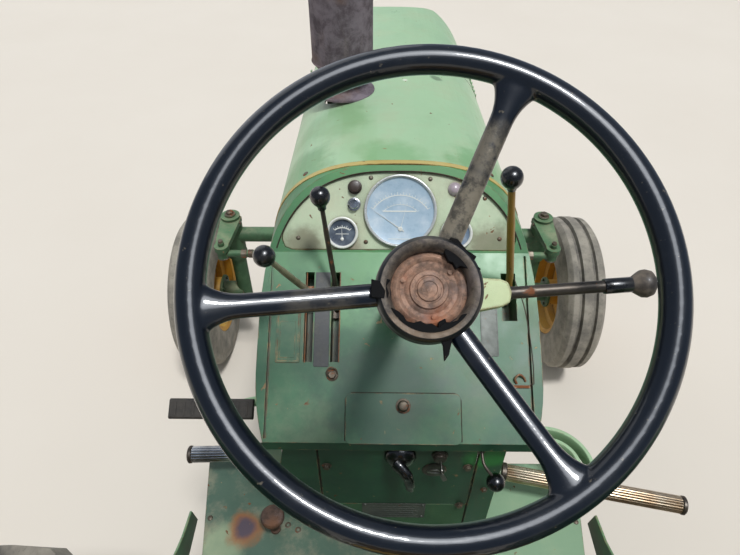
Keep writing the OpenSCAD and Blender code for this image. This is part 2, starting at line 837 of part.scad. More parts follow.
module hand_throttle() {
    on_wheel() translate([0, 0, -128]) rotate([0, 0, 4.5]) {
        color(green) difference() {
            union() {
                cylinder(r = column_r + 9, h = 26);
                linear_extrude(26) polygon([[20, -17], [66, -14], [78, -10], [82, 0], [78, 10], [66, 14], [20, 17]]);
            }
            translate([0, 0, -1]) cylinder(r = column_r, h = 28);
        }
        color(steel) translate([0, 0, 13]) along_x(70, 226, 6);
        color(black) translate([0, 0, 13]) rotate([0, 90, 0]) rotate_extrude()
            polygon([[0, 222], [9, 222], [12, 230], [14, 244], [12, 252], [6, 256], [0, 256]]);
    }
}

// A steering wheel's spoke, from the hub to the rim: an oval bar that flares at the rim
module spoke() {
    start = [36, 0, -30];
    rim_mid = sw_r - sw_rim_r;
    span = [rim_mid, 0, 0] - start;
    translate(start) rotate([0, acos(span[2] / norm(span)), 0]) {
        linear_extrude(norm(span)) polygon([for (a = [0:18:342]) [7.5 * cos(a), 11.5 * sin(a)]]);
        translate([0, 0, norm(span) - 34]) cylinder(r1 = 7.2, r2 = 15, h = 30);
    }
}

module steering_wheel() {
    color(black) on_wheel() {
        rotate_extrude($fn = 96) translate([sw_r - sw_rim_r, 0]) circle(r = sw_rim_r, $fn = 32);
        for (a = [67, 186, 305]) rotate([0, 0, a]) spoke();
        rotate_extrude($fn = 96)
            polygon([[0, -66], [30, -66], [43, -58], [50, -46], [51, -24], [49, -15], [45, -12], [41, -13],
                [38, -18], [37, -25], [31, -26], [30, -30], [16, -30], [15, -25], [10, -24], [9, -19], [0, -19]]);
        translate([0, 0, -110]) cylinder(r = wheel_shaft_r, h = 50);
    }
}

// The foot deck's right edge, drawn in by an inset: straight from the rear, then widening to the front
deck_rear_w = deck_half_w - 38;
function deck_edge(inset) = [
    [deck_rear_w - inset, deck_y0], [deck_rear_w - inset, deck_y1 - 250], [deck_half_w - inset, deck_y1]
];

module platform() {
    lip = 36;
    edge = deck_edge(0);
    color(green) {
        difference() {
            translate([0, 0, deck_z - 5]) linear_extrude(5)
                polygon(concat(edge, [for (i = [2:-1:0]) [-edge[i][0], edge[i][1]]]));
            block(-case_half_w - 3, case_half_w + 3, console_y + 17, deck_y1 + 10, deck_z - 50, deck_z + 10);
        }
        both_sides() {
            translate([0, 0, deck_z - lip]) linear_extrude(lip)
                polygon(concat(edge, [for (i = [2:-1:0]) deck_edge(5)[i]]));
            block(case_half_w + 3, deck_half_w - 1, deck_y1 - 5, deck_y1, deck_z - lip, deck_z);
            block(case_half_w, 420, deck_y0 + 60, deck_y0 + 110, deck_z - 60, deck_z - 5);
        }
    }
}

// A brake pedal's curved arm, as a flat bar bent through a quarter turn about a point on the floor plan
module curved_arm(radius) {
    translate([388, driver_y + 364, 975]) {
        rotate_extrude(angle = 90) translate([radius - 7, 0]) square([14, 42]);
        block(-388 + case_half_w + 40, 0, radius - 7, radius + 7, 4, 38);
        translate([radius, 0, 12]) block(-20, 20, -44, 2, -2, 14);
    }
}

module pedals() {
    knee = [-330, driver_y + 566, 990];
    color(black) translate([-470, driver_y + 488, 1052]) rotate([33, 0, 0])
        rotate([90, 0, 90]) linear_extrude(216, center = true)
            polygon([[-22, -11], [22, -11], [26, -6], [26, 8], [21, 13], [-21, 13], [-26, 8], [-26, -6]]);
    color(green) {
        bar([-440, driver_y + 492, 1047], knee, 13);
        translate(knee) sphere(r = 16);
        bar(knee, [-case_half_w, knee[1], 960], 13);
        curved_arm(100);
        curved_arm(68);
        translate([0, driver_y + 448, 985]) along_x(case_half_w, case_half_w + 60, 34);
        translate([-297, driver_y + 268, deck_z]) cylinder(r = 9, h = 62);
    }
    color(rust) translate([-297, driver_y + 268, deck_z + 60]) rotate_extrude()
        polygon([[0, 0], [24, 0], [29, 4], [29, 15], [26, 18], [0, 18]]);
}

// A round bar with flutes along it, between two points
module fluted_bar(a, b, r) {
    d = b - a;
    n = norm(d);
    flutes = 16;
    translate(a) rotate([0, acos(d[2] / n), atan2(d[1], d[0])]) {
        linear_extrude(n) polygon([
            for (i = [0:flutes * 3 - 1])
                let (q = i % 3 == 0 ? r - 2.5 : r, t = (i + (i % 3 == 1 ? -0.2 : i % 3 == 2 ? 0.2 : 0)) * 120 / flutes)
                [q * cos(t), q * sin(t)]
        ]);
        translate([0, 0, n]) cylinder(r = r + 1, h = 8);
        translate([0, 0, -8]) cylinder(r = r + 3, h = 8);
    }
}

module foot_rests() {
    y = driver_y + 424;
    plate_z = 980;
    color(steel) {
        fluted_bar([-345, y, 948], [-530, y - 6, 948], 21);
        fluted_bar([278, driver_y + 378, 948], [706, driver_y + 294, 948], 21);
    }
    color(green) {
        translate([0, 0, plate_z]) linear_extrude(6) polygon([
            [-352, y + 8], [-250, y + 8], [-case_half_w, y - 40], [-case_half_w, y - 104],
            [-290, y - 96], [-352, y - 52]
        ]);
        block(-345, -337, y - 21, y + 8, 940, plate_z);
        translate([0, driver_y + 380, 948]) along_x(case_half_w, 290, 16);
    }
}

fender_x0 = 512;
fender_x1 = 950;
fender_top = rear_tyre_d + 62;
fender_front = 480;
fender_back = 560;
fender_round = 150;

// The fender's top from its back to its front edge, in [y, z], drawn in by an inset
function fender_line(inset) = concat(
    [[rear_y - fender_back + inset, fender_top - 237]],
    [for (a = [180:-15:90]) [rear_y - fender_back + fender_round, fender_top - fender_round]
        + (fender_round - inset) * [cos(a), sin(a)]],
    [for (a = [90:-15:0]) [rear_y + fender_front - fender_round, fender_top - fender_round]
        + (fender_round - inset) * [cos(a), sin(a)]],
    [[rear_y + fender_front - inset, fender_top - 175]]
);

module fender(side) {
    line = fender_line(0);
    color(green) mirror([side > 0 ? 0 : 1, 0, 0]) {
        side_plate(concat(line, [
            [rear_y + 530, 1260], [rear_y + 610, 1100], [rear_y + 700, 980], [rear_y + 780, deck_z + 74],
            [rear_y + 850, deck_z + 42], [rear_y + 920, deck_z + 28], [rear_y + 928, deck_z - 36],
            [rear_y + 330, deck_z - 36], [rear_y + 280, 900], [rear_y + 190, 950], [rear_y, 968],
            [rear_y - 200, 1000], [rear_y - 380, 1090], [rear_y - 500, 1210]
        ]), fender_x0, fender_x0 + sheet_t);
        side_plate(concat(line, [for (i = [len(line) - 1:-1:0]) fender_line(sheet_t)[i]]), fender_x0, fender_x1);
        side_plate(concat(line, [for (i = [len(line) - 1:-1:0]) fender_line(40)[i]]), fender_x1 - sheet_t, fender_x1);
        block(deck_rear_w, fender_x0, rear_y + 340, rear_y + 500, deck_z - 30, deck_z - 5);
    }
}

module lamps() {
    color(steel) both_sides() for (x = [700, 840])
        translate([x, rear_y + fender_front, fender_top - 160]) rotate([-90, 0, 0]) rotate_extrude()
            polygon([[0, 0], [30, 0], [46, 14], [54, 34], [54, 40], [48, 42], [46, 38], [0, 34]]);
}

module seat_pedestal() {
    color(green) {
        block(-150, 150, rear_y - 160, rear_y + 150, case_top, case_top + 30);
        side_plate([[rear_y - 110, case_top + 30], [rear_y + 110, case_top + 30], [rear_y + 70, 1240],
            [rear_y - 130, 1240]], -70, 70);
        block(-215, 215, rear_y - 190, rear_y + 190, 1240, 1256);
        block(-190, 190, rear_y - 206, rear_y - 190, 1240, 1640);
        both_sides() {
            side_plate([[rear_y - 206, 1380], [rear_y - 206, 1470], [rear_y - 150, 1475], [rear_y + 60, 1475],
                [rear_y + 60, 1455], [rear_y - 150, 1450], [rear_y - 176, 1380]], 228, 240);
            block(190, 240, rear_y - 206, rear_y - 190, 1380, 1470);
        }
    }
}

// A padded block with rounded edges: half width w, half depth d, between two heights
module pad(w, d, z0, z1, corner) {
    inset = 16;
    hull() for (x = [-1, 1], y = [-1, 1]) translate([x * (w - corner), y * (d - corner), 0]) {
        translate([0, 0, z0]) cylinder(r = corner - inset, h = z1 - z0, $fn = 24);
        translate([0, 0, z0 + inset]) cylinder(r = corner, h = z1 - z0 - 2 * inset, $fn = 24);
    }
}

module seat_cushion() {
    color([0.8, 0.6, 0.1]) translate([0, rear_y + 18, 0]) pad(225, 197, 1256.3, 1356, 60);
}

module seat_back() {
    color([0.8, 0.6, 0.1]) translate([0, rear_y - 189.7, 1515]) rotate([-90, 0, 0]) pad(215, 150, 0, 78, 60);
}

module battery_boxes() {
    color(green) both_sides() side_plate([
        [driver_y + 600, deck_z - 20], [driver_y + 600, cowl_foot - 40], [driver_y + 640, cowl_foot - 1],
        [driver_y + 790, cowl_foot - 1], [driver_y + 790, deck_z - 20]
    ], rail_half_w, 350);
}

// Rear hitch and drawbar

module drawbar() {
    w = 76;
    tail = rear_y - 760;
    color(green) difference() {
        union() {
            block(-w / 2, w / 2, tail + w / 2, rear_y + 60, 420, 420 + drawbar_t);
            translate([0, tail + w / 2, 420]) cylinder(r = w / 2, h = drawbar_t);
            block(-90, 90, rear_y - 60, rear_y + 40, 420 + drawbar_t, case_bottom);
            block(-160, 160, case_tail - 95, case_tail - 35, 390, 420);
            both_sides() block(140, 160, case_tail - 95, case_tail, 390, 700);
        }
        translate([0, tail + w / 2, 400]) cylinder(r = drawbar_hole_r, h = 100);
    }
}

module pto_shaft() {
    color(steel) translate([0, case_tail, pto_z]) along_y(-137, -27, pto_r);
}

module lower_links() {
    tail = [link_pivot[0] - link_len, link_pivot[1] - 100];
    color(green) both_sides() difference() {
        union() {
            translate([0, link_pivot[0], link_pivot[1]]) along_x(link_x0 - 25, link_x0 + 25, 34);
            bar([link_x0, link_pivot[0] - 20, link_pivot[1]], [link_x1, tail[0] + 25, tail[1]], 22);
            translate([0, tail[0], tail[1]]) along_x(link_x1 - 22, link_x1 + 22, link_eye_r);
        }
        translate([0, tail[0], tail[1]]) along_x(link_x1 - 60, link_x1 + 60, link_hole_r);
        translate([0, link_pivot[0], link_pivot[1]]) along_x(link_x0 - 60, link_x0 + 60, 16 + run);
    }
}

module lift_arms() {
    color(green) {
        translate([0, lift_pivot[0], lift_pivot[1]]) along_x(-lift_x - 18, lift_x + 18, 32);
        both_sides() {
            translate([0, lift_pivot[0], lift_pivot[1]]) along_x(lift_x - 22, lift_x + 22, 52);
            side_plate([
                [lift_pivot[0] + 20, lift_pivot[1] - 40], [lift_pivot[0] + 20, lift_pivot[1] + 40],
                [lift_pivot[0] - lift_len, lift_pivot[1] + 26], [lift_pivot[0] - lift_len, lift_pivot[1] - 26]
            ], lift_x - 16, lift_x + 16);
            translate([0, lift_pivot[0] - lift_len, lift_pivot[1]]) along_x(lift_x - 16, lift_x + 16, 30);
        }
    }
}

module drop_links() {
    y = lift_pivot[0] - lift_len;
    color(steel) both_sides() {
        translate([0, y, lift_pivot[1]]) along_x(lift_x + 16 + seat_gap, lift_x + 46, 30);
        bar([lift_x + 36, y, lift_pivot[1]], [lift_x + 66, y, 560], 15);
    }
}

transmission_case();
riser();
axle_housings();
engine_block();
cylinder_head();
exhaust_manifold();
engine_accessories();
side_frame();
front_support();
front_axle();
radiator();
fuel_tank();
hood();
grille();
muffler();
cowl();
instrument_panel();
gauges();
control_levers();
hand_throttle();
steering_column();
platform();
pedals();
foot_rests();
fender(-1);  // fender_left
fender(1);  // fender_right
lamps();
seat_pedestal();
seat_cushion();
seat_back();
drawbar();
pto_shaft();
battery_boxes();
steering_wheel();
steering_arm();
tie_rod(-1);  // tie_rod_left
tie_rod(1);  // tie_rod_right
knuckle(-1);  // knuckle_left
knuckle(1);  // knuckle_right
front_rim(-1);  // front_rim_left
front_rim(1);  // front_rim_right
front_tyre(-1);  // front_tyre_left
front_tyre(1);  // front_tyre_right
rear_rim(-1);  // rear_rim_left
rear_rim(1);  // rear_rim_right
rear_tyre(-1);  // rear_tyre_left
rear_tyre(1);  // rear_tyre_right
fan();
lower_links();
lift_arms();
drop_links();
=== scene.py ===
"""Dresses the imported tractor: finer pieces for what the driver sees and touches, small hardware,
cushions, procedural materials, and the studio. Lengths are millimetres until a piece is made."""
import math
from itertools import product

import bmesh
import bpy
from mathutils import Matrix, Vector


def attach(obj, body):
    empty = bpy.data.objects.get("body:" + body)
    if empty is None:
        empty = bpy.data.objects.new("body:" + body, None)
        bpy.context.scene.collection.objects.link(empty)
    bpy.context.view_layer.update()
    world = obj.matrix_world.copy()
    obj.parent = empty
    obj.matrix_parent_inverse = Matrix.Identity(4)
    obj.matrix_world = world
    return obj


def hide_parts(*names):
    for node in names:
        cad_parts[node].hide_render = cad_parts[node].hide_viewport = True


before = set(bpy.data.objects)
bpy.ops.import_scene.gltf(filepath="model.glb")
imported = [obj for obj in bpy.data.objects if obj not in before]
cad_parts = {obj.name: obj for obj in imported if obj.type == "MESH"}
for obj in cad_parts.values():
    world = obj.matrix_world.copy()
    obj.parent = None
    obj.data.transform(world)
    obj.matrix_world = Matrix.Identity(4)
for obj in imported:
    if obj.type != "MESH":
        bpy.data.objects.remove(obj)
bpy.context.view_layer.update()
scene = bpy.context.scene


def turned(degrees, axis="Z"):
    return Matrix.Rotation(math.radians(degrees), 4, axis)


def place(x, y, z, tilt=0.0, turn=0.0):
    """A frame at a point, tilted back about X after a turn about its own Z, in degrees."""
    return Matrix.Translation((x, y, z)) @ turned(tilt, "X") @ turned(turn)


def at(x, y, z=0.0, turn=0.0):
    return place(x, y, z, 0, turn)


def facing(point, direction):
    """A frame at a point whose Z points in that direction."""
    turn = Vector((0, 0, 1)).rotation_difference(Vector(direction))
    return Matrix.Translation(point) @ turn.to_matrix().to_4x4()


def circle(r, n, start=0.0, step=None):
    """Points (x, y) round a circle from an angle, evenly or by a step, in degrees."""
    step = 360 / n if step is None else step
    angles = [math.radians(start + step * i) for i in range(n)]
    return [(r * math.cos(a), r * math.sin(a)) for a in angles]


# Places that several pieces share
KINGPIN_X, FRONT_Y, TIE_Y = 693, 1345, 1145
FRONT_HUB_X, FRONT_HUB_Z = 873, 372.5
REAR_HUB_X, REAR_Y, REAR_Z = 860, -935, 800
CASE_BACK, PTO_Z = -1170, 640
DECK_Z, FENDER_TOP = 850, 1662
SIDES = ((-1, "left"), (1, "right"))

# Frames of the surfaces that small pieces sit on: X to the right, Y up the surface, Z out of it
WHEEL = place(0, -304, 1934, 40)
CONSOLE = place(0, -72, 1296.43, 35)
PANEL = place(0, 247, 1519.8, 50)
RISER = place(0, -55, 0, 90)
FACE_FRONT, FACE_REAR = turned(-90, "X"), turned(90, "X")
FACE_RIGHT, FACE_LEFT = turned(90, "Y"), turned(-90, "Y")


def outward(side):
    """Turns a frame so that its Z points out on that side."""
    return FACE_RIGHT if side > 0 else FACE_LEFT


def rounded(x0, y0, x1, y1, r, steps=5):
    """A rectangle's outline with round corners."""
    corners = ((x1 - r, y1 - r, 0), (x0 + r, y1 - r, 90), (x0 + r, y0 + r, 180), (x1 - r, y0 + r, 270))
    return [(cx + x, cy + y) for cx, cy, start in corners for x, y in circle(r, steps + 1, start, 90 / steps)]


def smooth_path(points, steps=6):
    """A Catmull-Rom curve through the points."""
    p = [Vector(v) for v in points]
    p = [p[0] * 2 - p[1]] + p + [p[-1] * 2 - p[-2]]
    out = []
    for i in range(1, len(p) - 2):
        a, b, c, d = p[i - 1:i + 3]
        for k in range(steps):
            t = k / steps
            out.append(0.5 * (2 * b + (c - a) * t + (2 * a - 5 * b + 4 * c - d) * t ** 2
                              + (3 * b - a - 3 * c + d) * t ** 3))
    return out + [p[-2]]


class Shape:
    """Closed bodies gathered into one mesh, in millimetres."""

    def __init__(self):
        self.bm = bmesh.new()

    def add(self, verts, faces, m=Matrix()):
        vs = [self.bm.verts.new(m @ Vector(v)) for v in verts]
        for f in faces:
            self.bm.faces.new([vs[i] for i in f])
        return self

    def lathe(self, profile, m=Matrix(), n=32, ring=False):
        """Turns (radius, height) points about Z. A ring's profile closes on itself."""
        verts, rows = [], []
        for r, z in profile:
            if abs(r) < 1e-6:
                rows.append([len(verts)] * n)
                verts.append((0, 0, z))
            else:
                rows.append([len(verts) + i for i in range(n)])
                verts += [(x, y, z) for x, y in circle(r, n)]
        faces = []
        pairs = list(zip(rows, rows[1:])) + ([(rows[-1], rows[0])] if ring else [])
        for a, b in pairs:
            for i in range(n):
                j = (i + 1) % n
                f = list(dict.fromkeys([a[i], a[j], b[j], b[i]]))
                if len(f) > 2:
                    faces.append(f)
        if not ring:
            for row in (rows[0], rows[-1]):
                if len(set(row)) > 1:
                    faces.append(row)
        return self.add(verts, faces, m)

    def torus(self, big, small, m=Matrix(), n=64, k=16):
        return self.lathe([(big + x, y) for x, y in circle(small, k)], m, n, ring=True)

    def rod(self, a, b, r, m=Matrix(), n=16):
        a, b = Vector(a), Vector(b)
        return self.lathe([(r, 0), (r, (b - a).length)], m @ facing(a, b - a), n)

    def loft(self, rows, m=Matrix(), ends=True):
        """A skin over rows of points, each a closed loop. Without ends the last row joins the first."""
        n, count = len(rows[0]), len(rows)
        faces = [(k * n + i, k * n + (i + 1) % n, (k + 1) % count * n + (i + 1) % n, (k + 1) % count * n + i)
                 for k in range(count - ends) for i in range(n)]
        if ends:
            faces += [tuple(range(n)), tuple(range((count - 1) * n, count * n))]
        return self.add([v for row in rows for v in row], faces, m)

    def tube(self, points, radius, m=Matrix(), n=12, closed=False):
        """A swept bar. A radius may be a number, or one number or (wide, thick) pair for each point."""
        pts = [Vector(p) for p in points]
        radii = radius if isinstance(radius, (list, tuple)) else [radius] * len(pts)
        count = len(pts)
        tangents = [((pts[(i + 1) % count] if closed or i < count - 1 else pts[i])
                     - (pts[i - 1] if closed or i > 0 else pts[i])).normalized() for i in range(count)]
        first = tangents[0]
        side = (first.orthogonal() if abs(first.z) > 0.9 else first.cross(Vector((0, 0, 1)))).normalized()
        rows = []
        for p, t, r in zip(pts, tangents, radii):
            side = (side - t * side.dot(t)).normalized()
            up = side.cross(t)
            w, h = r if isinstance(r, (list, tuple)) else (r, r)
            rows.append([p + side * w * x + up * h * y for x, y in circle(1, n)])
        return self.loft(rows, m, ends=not closed)

    def bent(self, points, radius, m=Matrix(), n=12, steps=6):
        """A bar swept along a smooth curve through the points."""
        return self.tube(smooth_path(points, steps), radius, m, n)

    def prism(self, outline, z0, z1, m=Matrix()):
        return self.loft([[(x, y, z) for x, y in outline] for z in (z0, z1)], m)

    def box(self, lo, hi, m=Matrix()):
        return self.prism([(lo[0], lo[1]), (hi[0], lo[1]), (hi[0], hi[1]), (lo[0], hi[1])], lo[2], hi[2], m)

    def ball(self, centre, r, m=Matrix(), n=24):
        k = n // 2
        profile = [(r * math.sin(math.pi * i / k), -r * math.cos(math.pi * i / k)) for i in range(k + 1)]
        profile[0], profile[-1] = (0, -r), (0, r)
        return self.lathe(profile, m @ Matrix.Translation(centre), n)

    def bolt(self, m, r=8, h=7, washer=True, turn=0.0):
        """A hexagon head on a washer, standing on the frame's XY plane."""
        z = 0.0
        if washer:
            self.lathe([(r * 1.45, 0), (r * 1.45, r * 0.16), (r * 1.3, r * 0.24)], m, 20)
            z = r * 0.22
        m = m @ turned(turn)
        for low, high, top in ((z - 0.1, z + h * 0.8, r), (z + h * 0.8, z + h, r * 0.82)):
            self.loft([[(x, y, low) for x, y in circle(r, 6)], [(x, y, high) for x, y in circle(top, 6)]], m)
        return self

    def dome(self, m, r=5, h=2.5, n=16):
        """A rivet's or round screw's head."""
        return self.lathe([(r, -0.2), (r, h * 0.25), (r * 0.8, h * 0.75), (r * 0.4, h * 0.97), (0, h)], m, n)

    def bolts(self, places, r, h, face=Matrix(), turn=0.0, **look):
        """Bolts at (x, y, z) points, facing alike. The turn is a number, or a rule of x, y and z."""
        for p in places:
            self.bolt(at(*p) @ face, r, h, turn=turn(*p) if callable(turn) else turn, **look)
        return self

    def bolt_ring(self, m, radius, count, r, h, start=0.0, z=0.0, step=0.0, **look):
        """Bolts round a circle of the frame, each turned a step more than the last."""
        for i, (x, y) in enumerate(circle(radius, count, start)):
            self.bolt(m @ at(x, y, z), r, h, turn=step * i, **look)
        return self

    def mirror_x(self):
        """Adds the same bodies on the tractor's other side."""
        faces = [[tuple(v.co) for v in f.verts] for f in self.bm.faces]
        for f in faces:
            self.bm.faces.new([self.bm.verts.new((-x, y, z)) for x, y, z in reversed(f)])
        bmesh.ops.remove_doubles(self.bm, verts=self.bm.verts[:], dist=1e-4)
        return self

    def mesh(self, name):
        """The bodies as one mesh, in metres."""
        bmesh.ops.recalc_face_normals(self.bm, faces=self.bm.faces[:])
        bmesh.ops.scale(self.bm, vec=(0.001,) * 3, verts=self.bm.verts[:])
        mesh = bpy.data.meshes.new(name)
        self.bm.to_mesh(mesh)
        self.bm.free()
        return mesh

    def piece(self, name, material, slot=None, **settings):
        """Makes the object, riding on its body."""
        return finish_piece(self.mesh(name), name, material, slot, **settings)


def finish_piece(mesh, name, material, slot=None, body="chassis", bevel=0.0, angle=38, replaces=()):
    """The mesh as an object of one material; the slot argument is not used."""
    mesh.shade_smooth()
    mesh.set_sharp_from_angle(angle=math.radians(angle))
    mesh.materials.append(material)
    o = bpy.data.objects.new(name, mesh)
    scene.collection.objects.link(o)
    if bevel:
        soften(o, bevel, angle)
    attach(o, body)
    if replaces:
        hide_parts(*replaces)
    return o


def tune(thing, **values):
    """Sets those values of a thing and gives it back."""
    for k, v in values.items():
        setattr(thing, k, v)
    return thing


def modify(o, name, kind, **settings):
    tune(o.modifiers.new(name, kind), **settings)


def soften(o, width, angle, harden=True):
    """Rounds an object's edges to a width in millimetres."""
    modify(o, "round", "BEVEL", width=width * 0.001, segments=2, limit_method="ANGLE",
           angle_limit=math.radians(angle), harden_normals=harden, miter_outer="MITER_ARC")


def baked(o):
    """The object's mesh after its modifiers; the object goes."""
    out = bpy.data.meshes.new_from_object(o.evaluated_get(bpy.context.evaluated_depsgraph_get()))
    bpy.data.objects.remove(o)
    return out


def remeshed(shape, voxel, smooth=0):
    """The shape's bodies as one even skin, in metres, with its corners smoothed so many times."""
    work = bpy.data.objects.new("work", shape.mesh("work"))
    scene.collection.objects.link(work)
    modify(work, "voxel", "REMESH", mode="VOXEL", voxel_size=voxel * 0.001)
    if smooth:
        modify(work, "smooth", "SMOOTH", factor=0.5, iterations=smooth)
    return baked(work)


# Materials

def tint(r, g, b):
    """A colour as written in 0 to 255, made linear."""
    return *(c / 255 / 12.92 if c <= 10 else ((c / 255 + 0.055) / 1.055) ** 2.4 for c in (r, g, b)), 1


class Nodes:
    """A tree of shader nodes, made by short calls that give back an output socket."""

    def __init__(self, tree):
        self.tree = tree

    def node(self, kind, **settings):
        return tune(self.tree.nodes.new(kind), **settings)

    def feed(self, socket, value):
        if isinstance(value, bpy.types.NodeSocket):
            self.tree.links.new(value, socket)
        else:
            socket.default_value = value

    def mix(self, fac, a, b):
        n = self.node("ShaderNodeMix", data_type="RGBA")
        self.feed(n.inputs[0], fac)
        self.feed(n.inputs[6], a)
        self.feed(n.inputs[7], b)
        return n.outputs[2]


class Graph(Nodes):
    """A material, with its coordinates at hand."""

    def __init__(self, name):
        self.material = bpy.data.materials.new(name)
        self.material.use_nodes = True
        super().__init__(self.material.node_tree)
        self.shader = self.tree.nodes["Principled BSDF"]
        coords = self.node("ShaderNodeTexCoord")
        self.where = coords.outputs["Object"]
        self.normal = coords.outputs["Normal"]

    def noise(self, scale, detail=4.0, rough=0.55, at=None, warp=0.0):
        n = self.node("ShaderNodeTexNoise")
        self.feed(n.inputs["Vector"], at or self.where)
        for k, v in (("Scale", scale), ("Detail", detail), ("Roughness", rough), ("Distortion", warp)):
            n.inputs[k].default_value = v
        return n.outputs[0]

    def cells(self, scale, feature="F1"):
        n = self.node("ShaderNodeTexVoronoi", feature=feature)
        self.feed(n.inputs["Vector"], self.where)
        n.inputs["Scale"].default_value = scale
        return n.outputs[0]

    def stretch(self, x, y, z):
        n = self.node("ShaderNodeMapping")
        self.feed(n.inputs["Vector"], self.where)
        n.inputs["Scale"].default_value = (x, y, z)
        return n.outputs[0]

    def shift(self, x, y, z):
        n = self.node("ShaderNodeVectorMath", operation="SUBTRACT")
        self.feed(n.inputs[0], self.where)
        n.inputs[1].default_value = (x, y, z)
        return n.outputs[0]

    def math(self, op, a, b=0.0, clamp=False):
        n = self.node("ShaderNodeMath", operation=op, use_clamp=clamp)
        self.feed(n.inputs[0], a)
        self.feed(n.inputs[1], b)
        return n.outputs[0]

    def add(self, a, b, clamp=False):
        return self.math("ADD", a, b, clamp)

    def sub(self, a, b):
        return self.math("SUBTRACT", a, b)

    def mul(self, a, b):
        return self.math("MULTIPLY", a, b)

    def most(self, a, b):
        return self.math("MAXIMUM", a, b)

    def step(self, value, lo, hi, out0=0.0, out1=1.0):
        n = self.node("ShaderNodeMapRange", interpolation_type="SMOOTHSTEP")
        for i, v in enumerate((value, lo, hi, out0, out1)):
            self.feed(n.inputs[i], v)
        return n.outputs[0]

    def axis(self, vector, i):
        n = self.node("ShaderNodeSeparateXYZ")
        self.feed(n.inputs[0], vector)
        return n.outputs[i]

    def length(self, vector):
        n = self.node("ShaderNodeVectorMath", operation="LENGTH")
        self.feed(n.inputs[0], vector)
        return n.outputs["Value"]

    def edges(self, radius, lo=0.004, hi=0.05):
        """1 along edges, from a rounded normal's difference."""
        bevel = self.node("ShaderNodeBevel", samples=4)
        bevel.inputs["Radius"].default_value = radius
        geometry = self.node("ShaderNodeNewGeometry")
        dot = self.node("ShaderNodeVectorMath", operation="DOT_PRODUCT")
        self.feed(dot.inputs[0], bevel.outputs[0])
        self.feed(dot.inputs[1], geometry.outputs["Normal"])
        return self.step(self.sub(1.0, dot.outputs["Value"]), lo, hi)

    def hollows(self, distance):
        """1 in corners and hollows, where ambient light is shut out; it places dirt there and painted shade.
        """
        n = self.node("ShaderNodeAmbientOcclusion", samples=5, only_local=False)
        n.inputs["Distance"].default_value = distance
        return self.sub(1.0, n.outputs[1])

    def bump(self, height, strength, distance):
        n = self.node("ShaderNodeBump")
        n.inputs["Strength"].default_value = strength
        n.inputs["Distance"].default_value = distance
        self.feed(n.inputs["Height"], height)
        return n.outputs[0]

    def done(self, colour, rough, normal=None, metal=0.0, **sockets):
        """Joins the shader's sockets; their names have _ for a space."""
        sockets = {"Base_Color": colour, "Roughness": rough, "Metallic": metal} | sockets
        if normal:
            sockets["Normal"] = normal
        for k, v in sockets.items():
            self.feed(self.shader.inputs[k.replace("_", " ")], v)
        return self.material


RUST = tint(104, 62, 38)
PRIMER = tint(158, 140, 104)
SOIL_AND_SHADE = tint(70, 58, 44)
DUST = tint(186, 172, 146)


def paint(name, base, faded_and_sunlit, fade_and_sunlight=0.5, wear=0.5, dirt_and_shade=0.5, dust=0.3, rough=0.42, pits=0.12, bare=PRIMER,
          soil_and_shade=SOIL_AND_SHADE, spots=()):
    """Old paint: bleached and lighter on top, partly as painted sunlight; worn at its edges, chipped, dirty
    and darkened in its corners, partly as painted shade, and dusty above.
    Each spot is (x, y, z, radius, colour, strength): a stain, a rubbed place, a painted patch of sunlight or
    a painted shadow."""
    g = Graph(name)
    big, mid, small = g.noise(2.7, 4), g.noise(13, 6, 0.62), g.noise(75, 5, 0.6)
    up = g.step(g.axis(g.normal, 2), 0.1, 0.95)
    # Lighter on top: sun bleaching, and painted sunlight on what faces up.
    bleach_and_sunlight = g.add(g.mul(up, 0.5), g.add(g.mul(big, 0.7), g.mul(mid, 0.5)))
    colour = g.mix(g.step(bleach_and_sunlight, 1.15 - fade_and_sunlight, 1.65 - fade_and_sunlight), base, faded_and_sunlit)
    cloud = g.step(g.noise(5.5, 7, 0.7, warp=0.4), 0.45, 0.75)
    colour = g.mix(g.mul(cloud, 0.28), colour, tuple(0.72 * a + 0.28 * b for a, b in zip(base, faded_and_sunlit)))
    colour = g.mix(g.mul(g.step(mid, 0.42, 0.7), 0.35), colour, faded_and_sunlit)
    streak = g.step(g.noise(26, 5, 0.7, g.stretch(1, 1, 0.12)), 0.52, 0.8)
    flat = g.sub(1.0, up)
    colour = g.mix(g.mul(g.mul(streak, flat), 0.45 * dirt_and_shade), colour, soil_and_shade)
    # Soil colour in corners and hollows: dirt, and painted shade where ambient light is shut out.
    corner_dirt_and_shade = g.mul(g.step(g.hollows(0.07), 0.18, 0.75), g.step(mid, 0.25, 0.6, 0.45, 1.0))
    colour = g.mix(g.mul(corner_dirt_and_shade, min(1, dirt_and_shade)), colour, soil_and_shade)
    settled = g.mul(g.mul(up, g.step(g.noise(9, 6, 0.7), 0.42, 0.7)), dust)
    colour = g.mix(settled, colour, DUST)
    for x, y, z, r, stain, strength in spots:
        ragged = g.add(g.length(g.shift(x, y, z)), g.mul(g.sub(mid, 0.5), r * 1.4))
        near = g.step(ragged, r, r * 0.45)
        colour = g.mix(g.mul(near, strength), colour, stain)
    rubbed = g.mul(g.edges(0.0035), g.step(g.noise(34, 4, 0.65), 0.62 - 0.3 * wear, 0.75 - 0.2 * wear))
    chips = g.mul(g.step(g.noise(52, 3, 0.5, warp=0.6), 0.735 - 0.06 * wear, 0.75 - 0.06 * wear),
                  g.step(mid, 0.45, 0.55))
    lost = g.math("MINIMUM", g.most(rubbed, chips), 1.0)
    metal = g.mix(g.step(g.noise(19, 4), 0.4, 0.6), bare, RUST)
    colour = g.mix(lost, colour, metal)
    shine = g.add(rough, g.mul(g.sub(mid, 0.5), 0.35))
    shine = g.add(shine, g.add(g.mul(settled, 0.5), g.mul(lost, 0.3)), clamp=True)
    height = g.sub(g.add(g.mul(mid, 0.8), g.mul(small, 0.35)), g.mul(lost, 0.5))
    return g.done(colour, shine, g.bump(height, pits, 0.002))


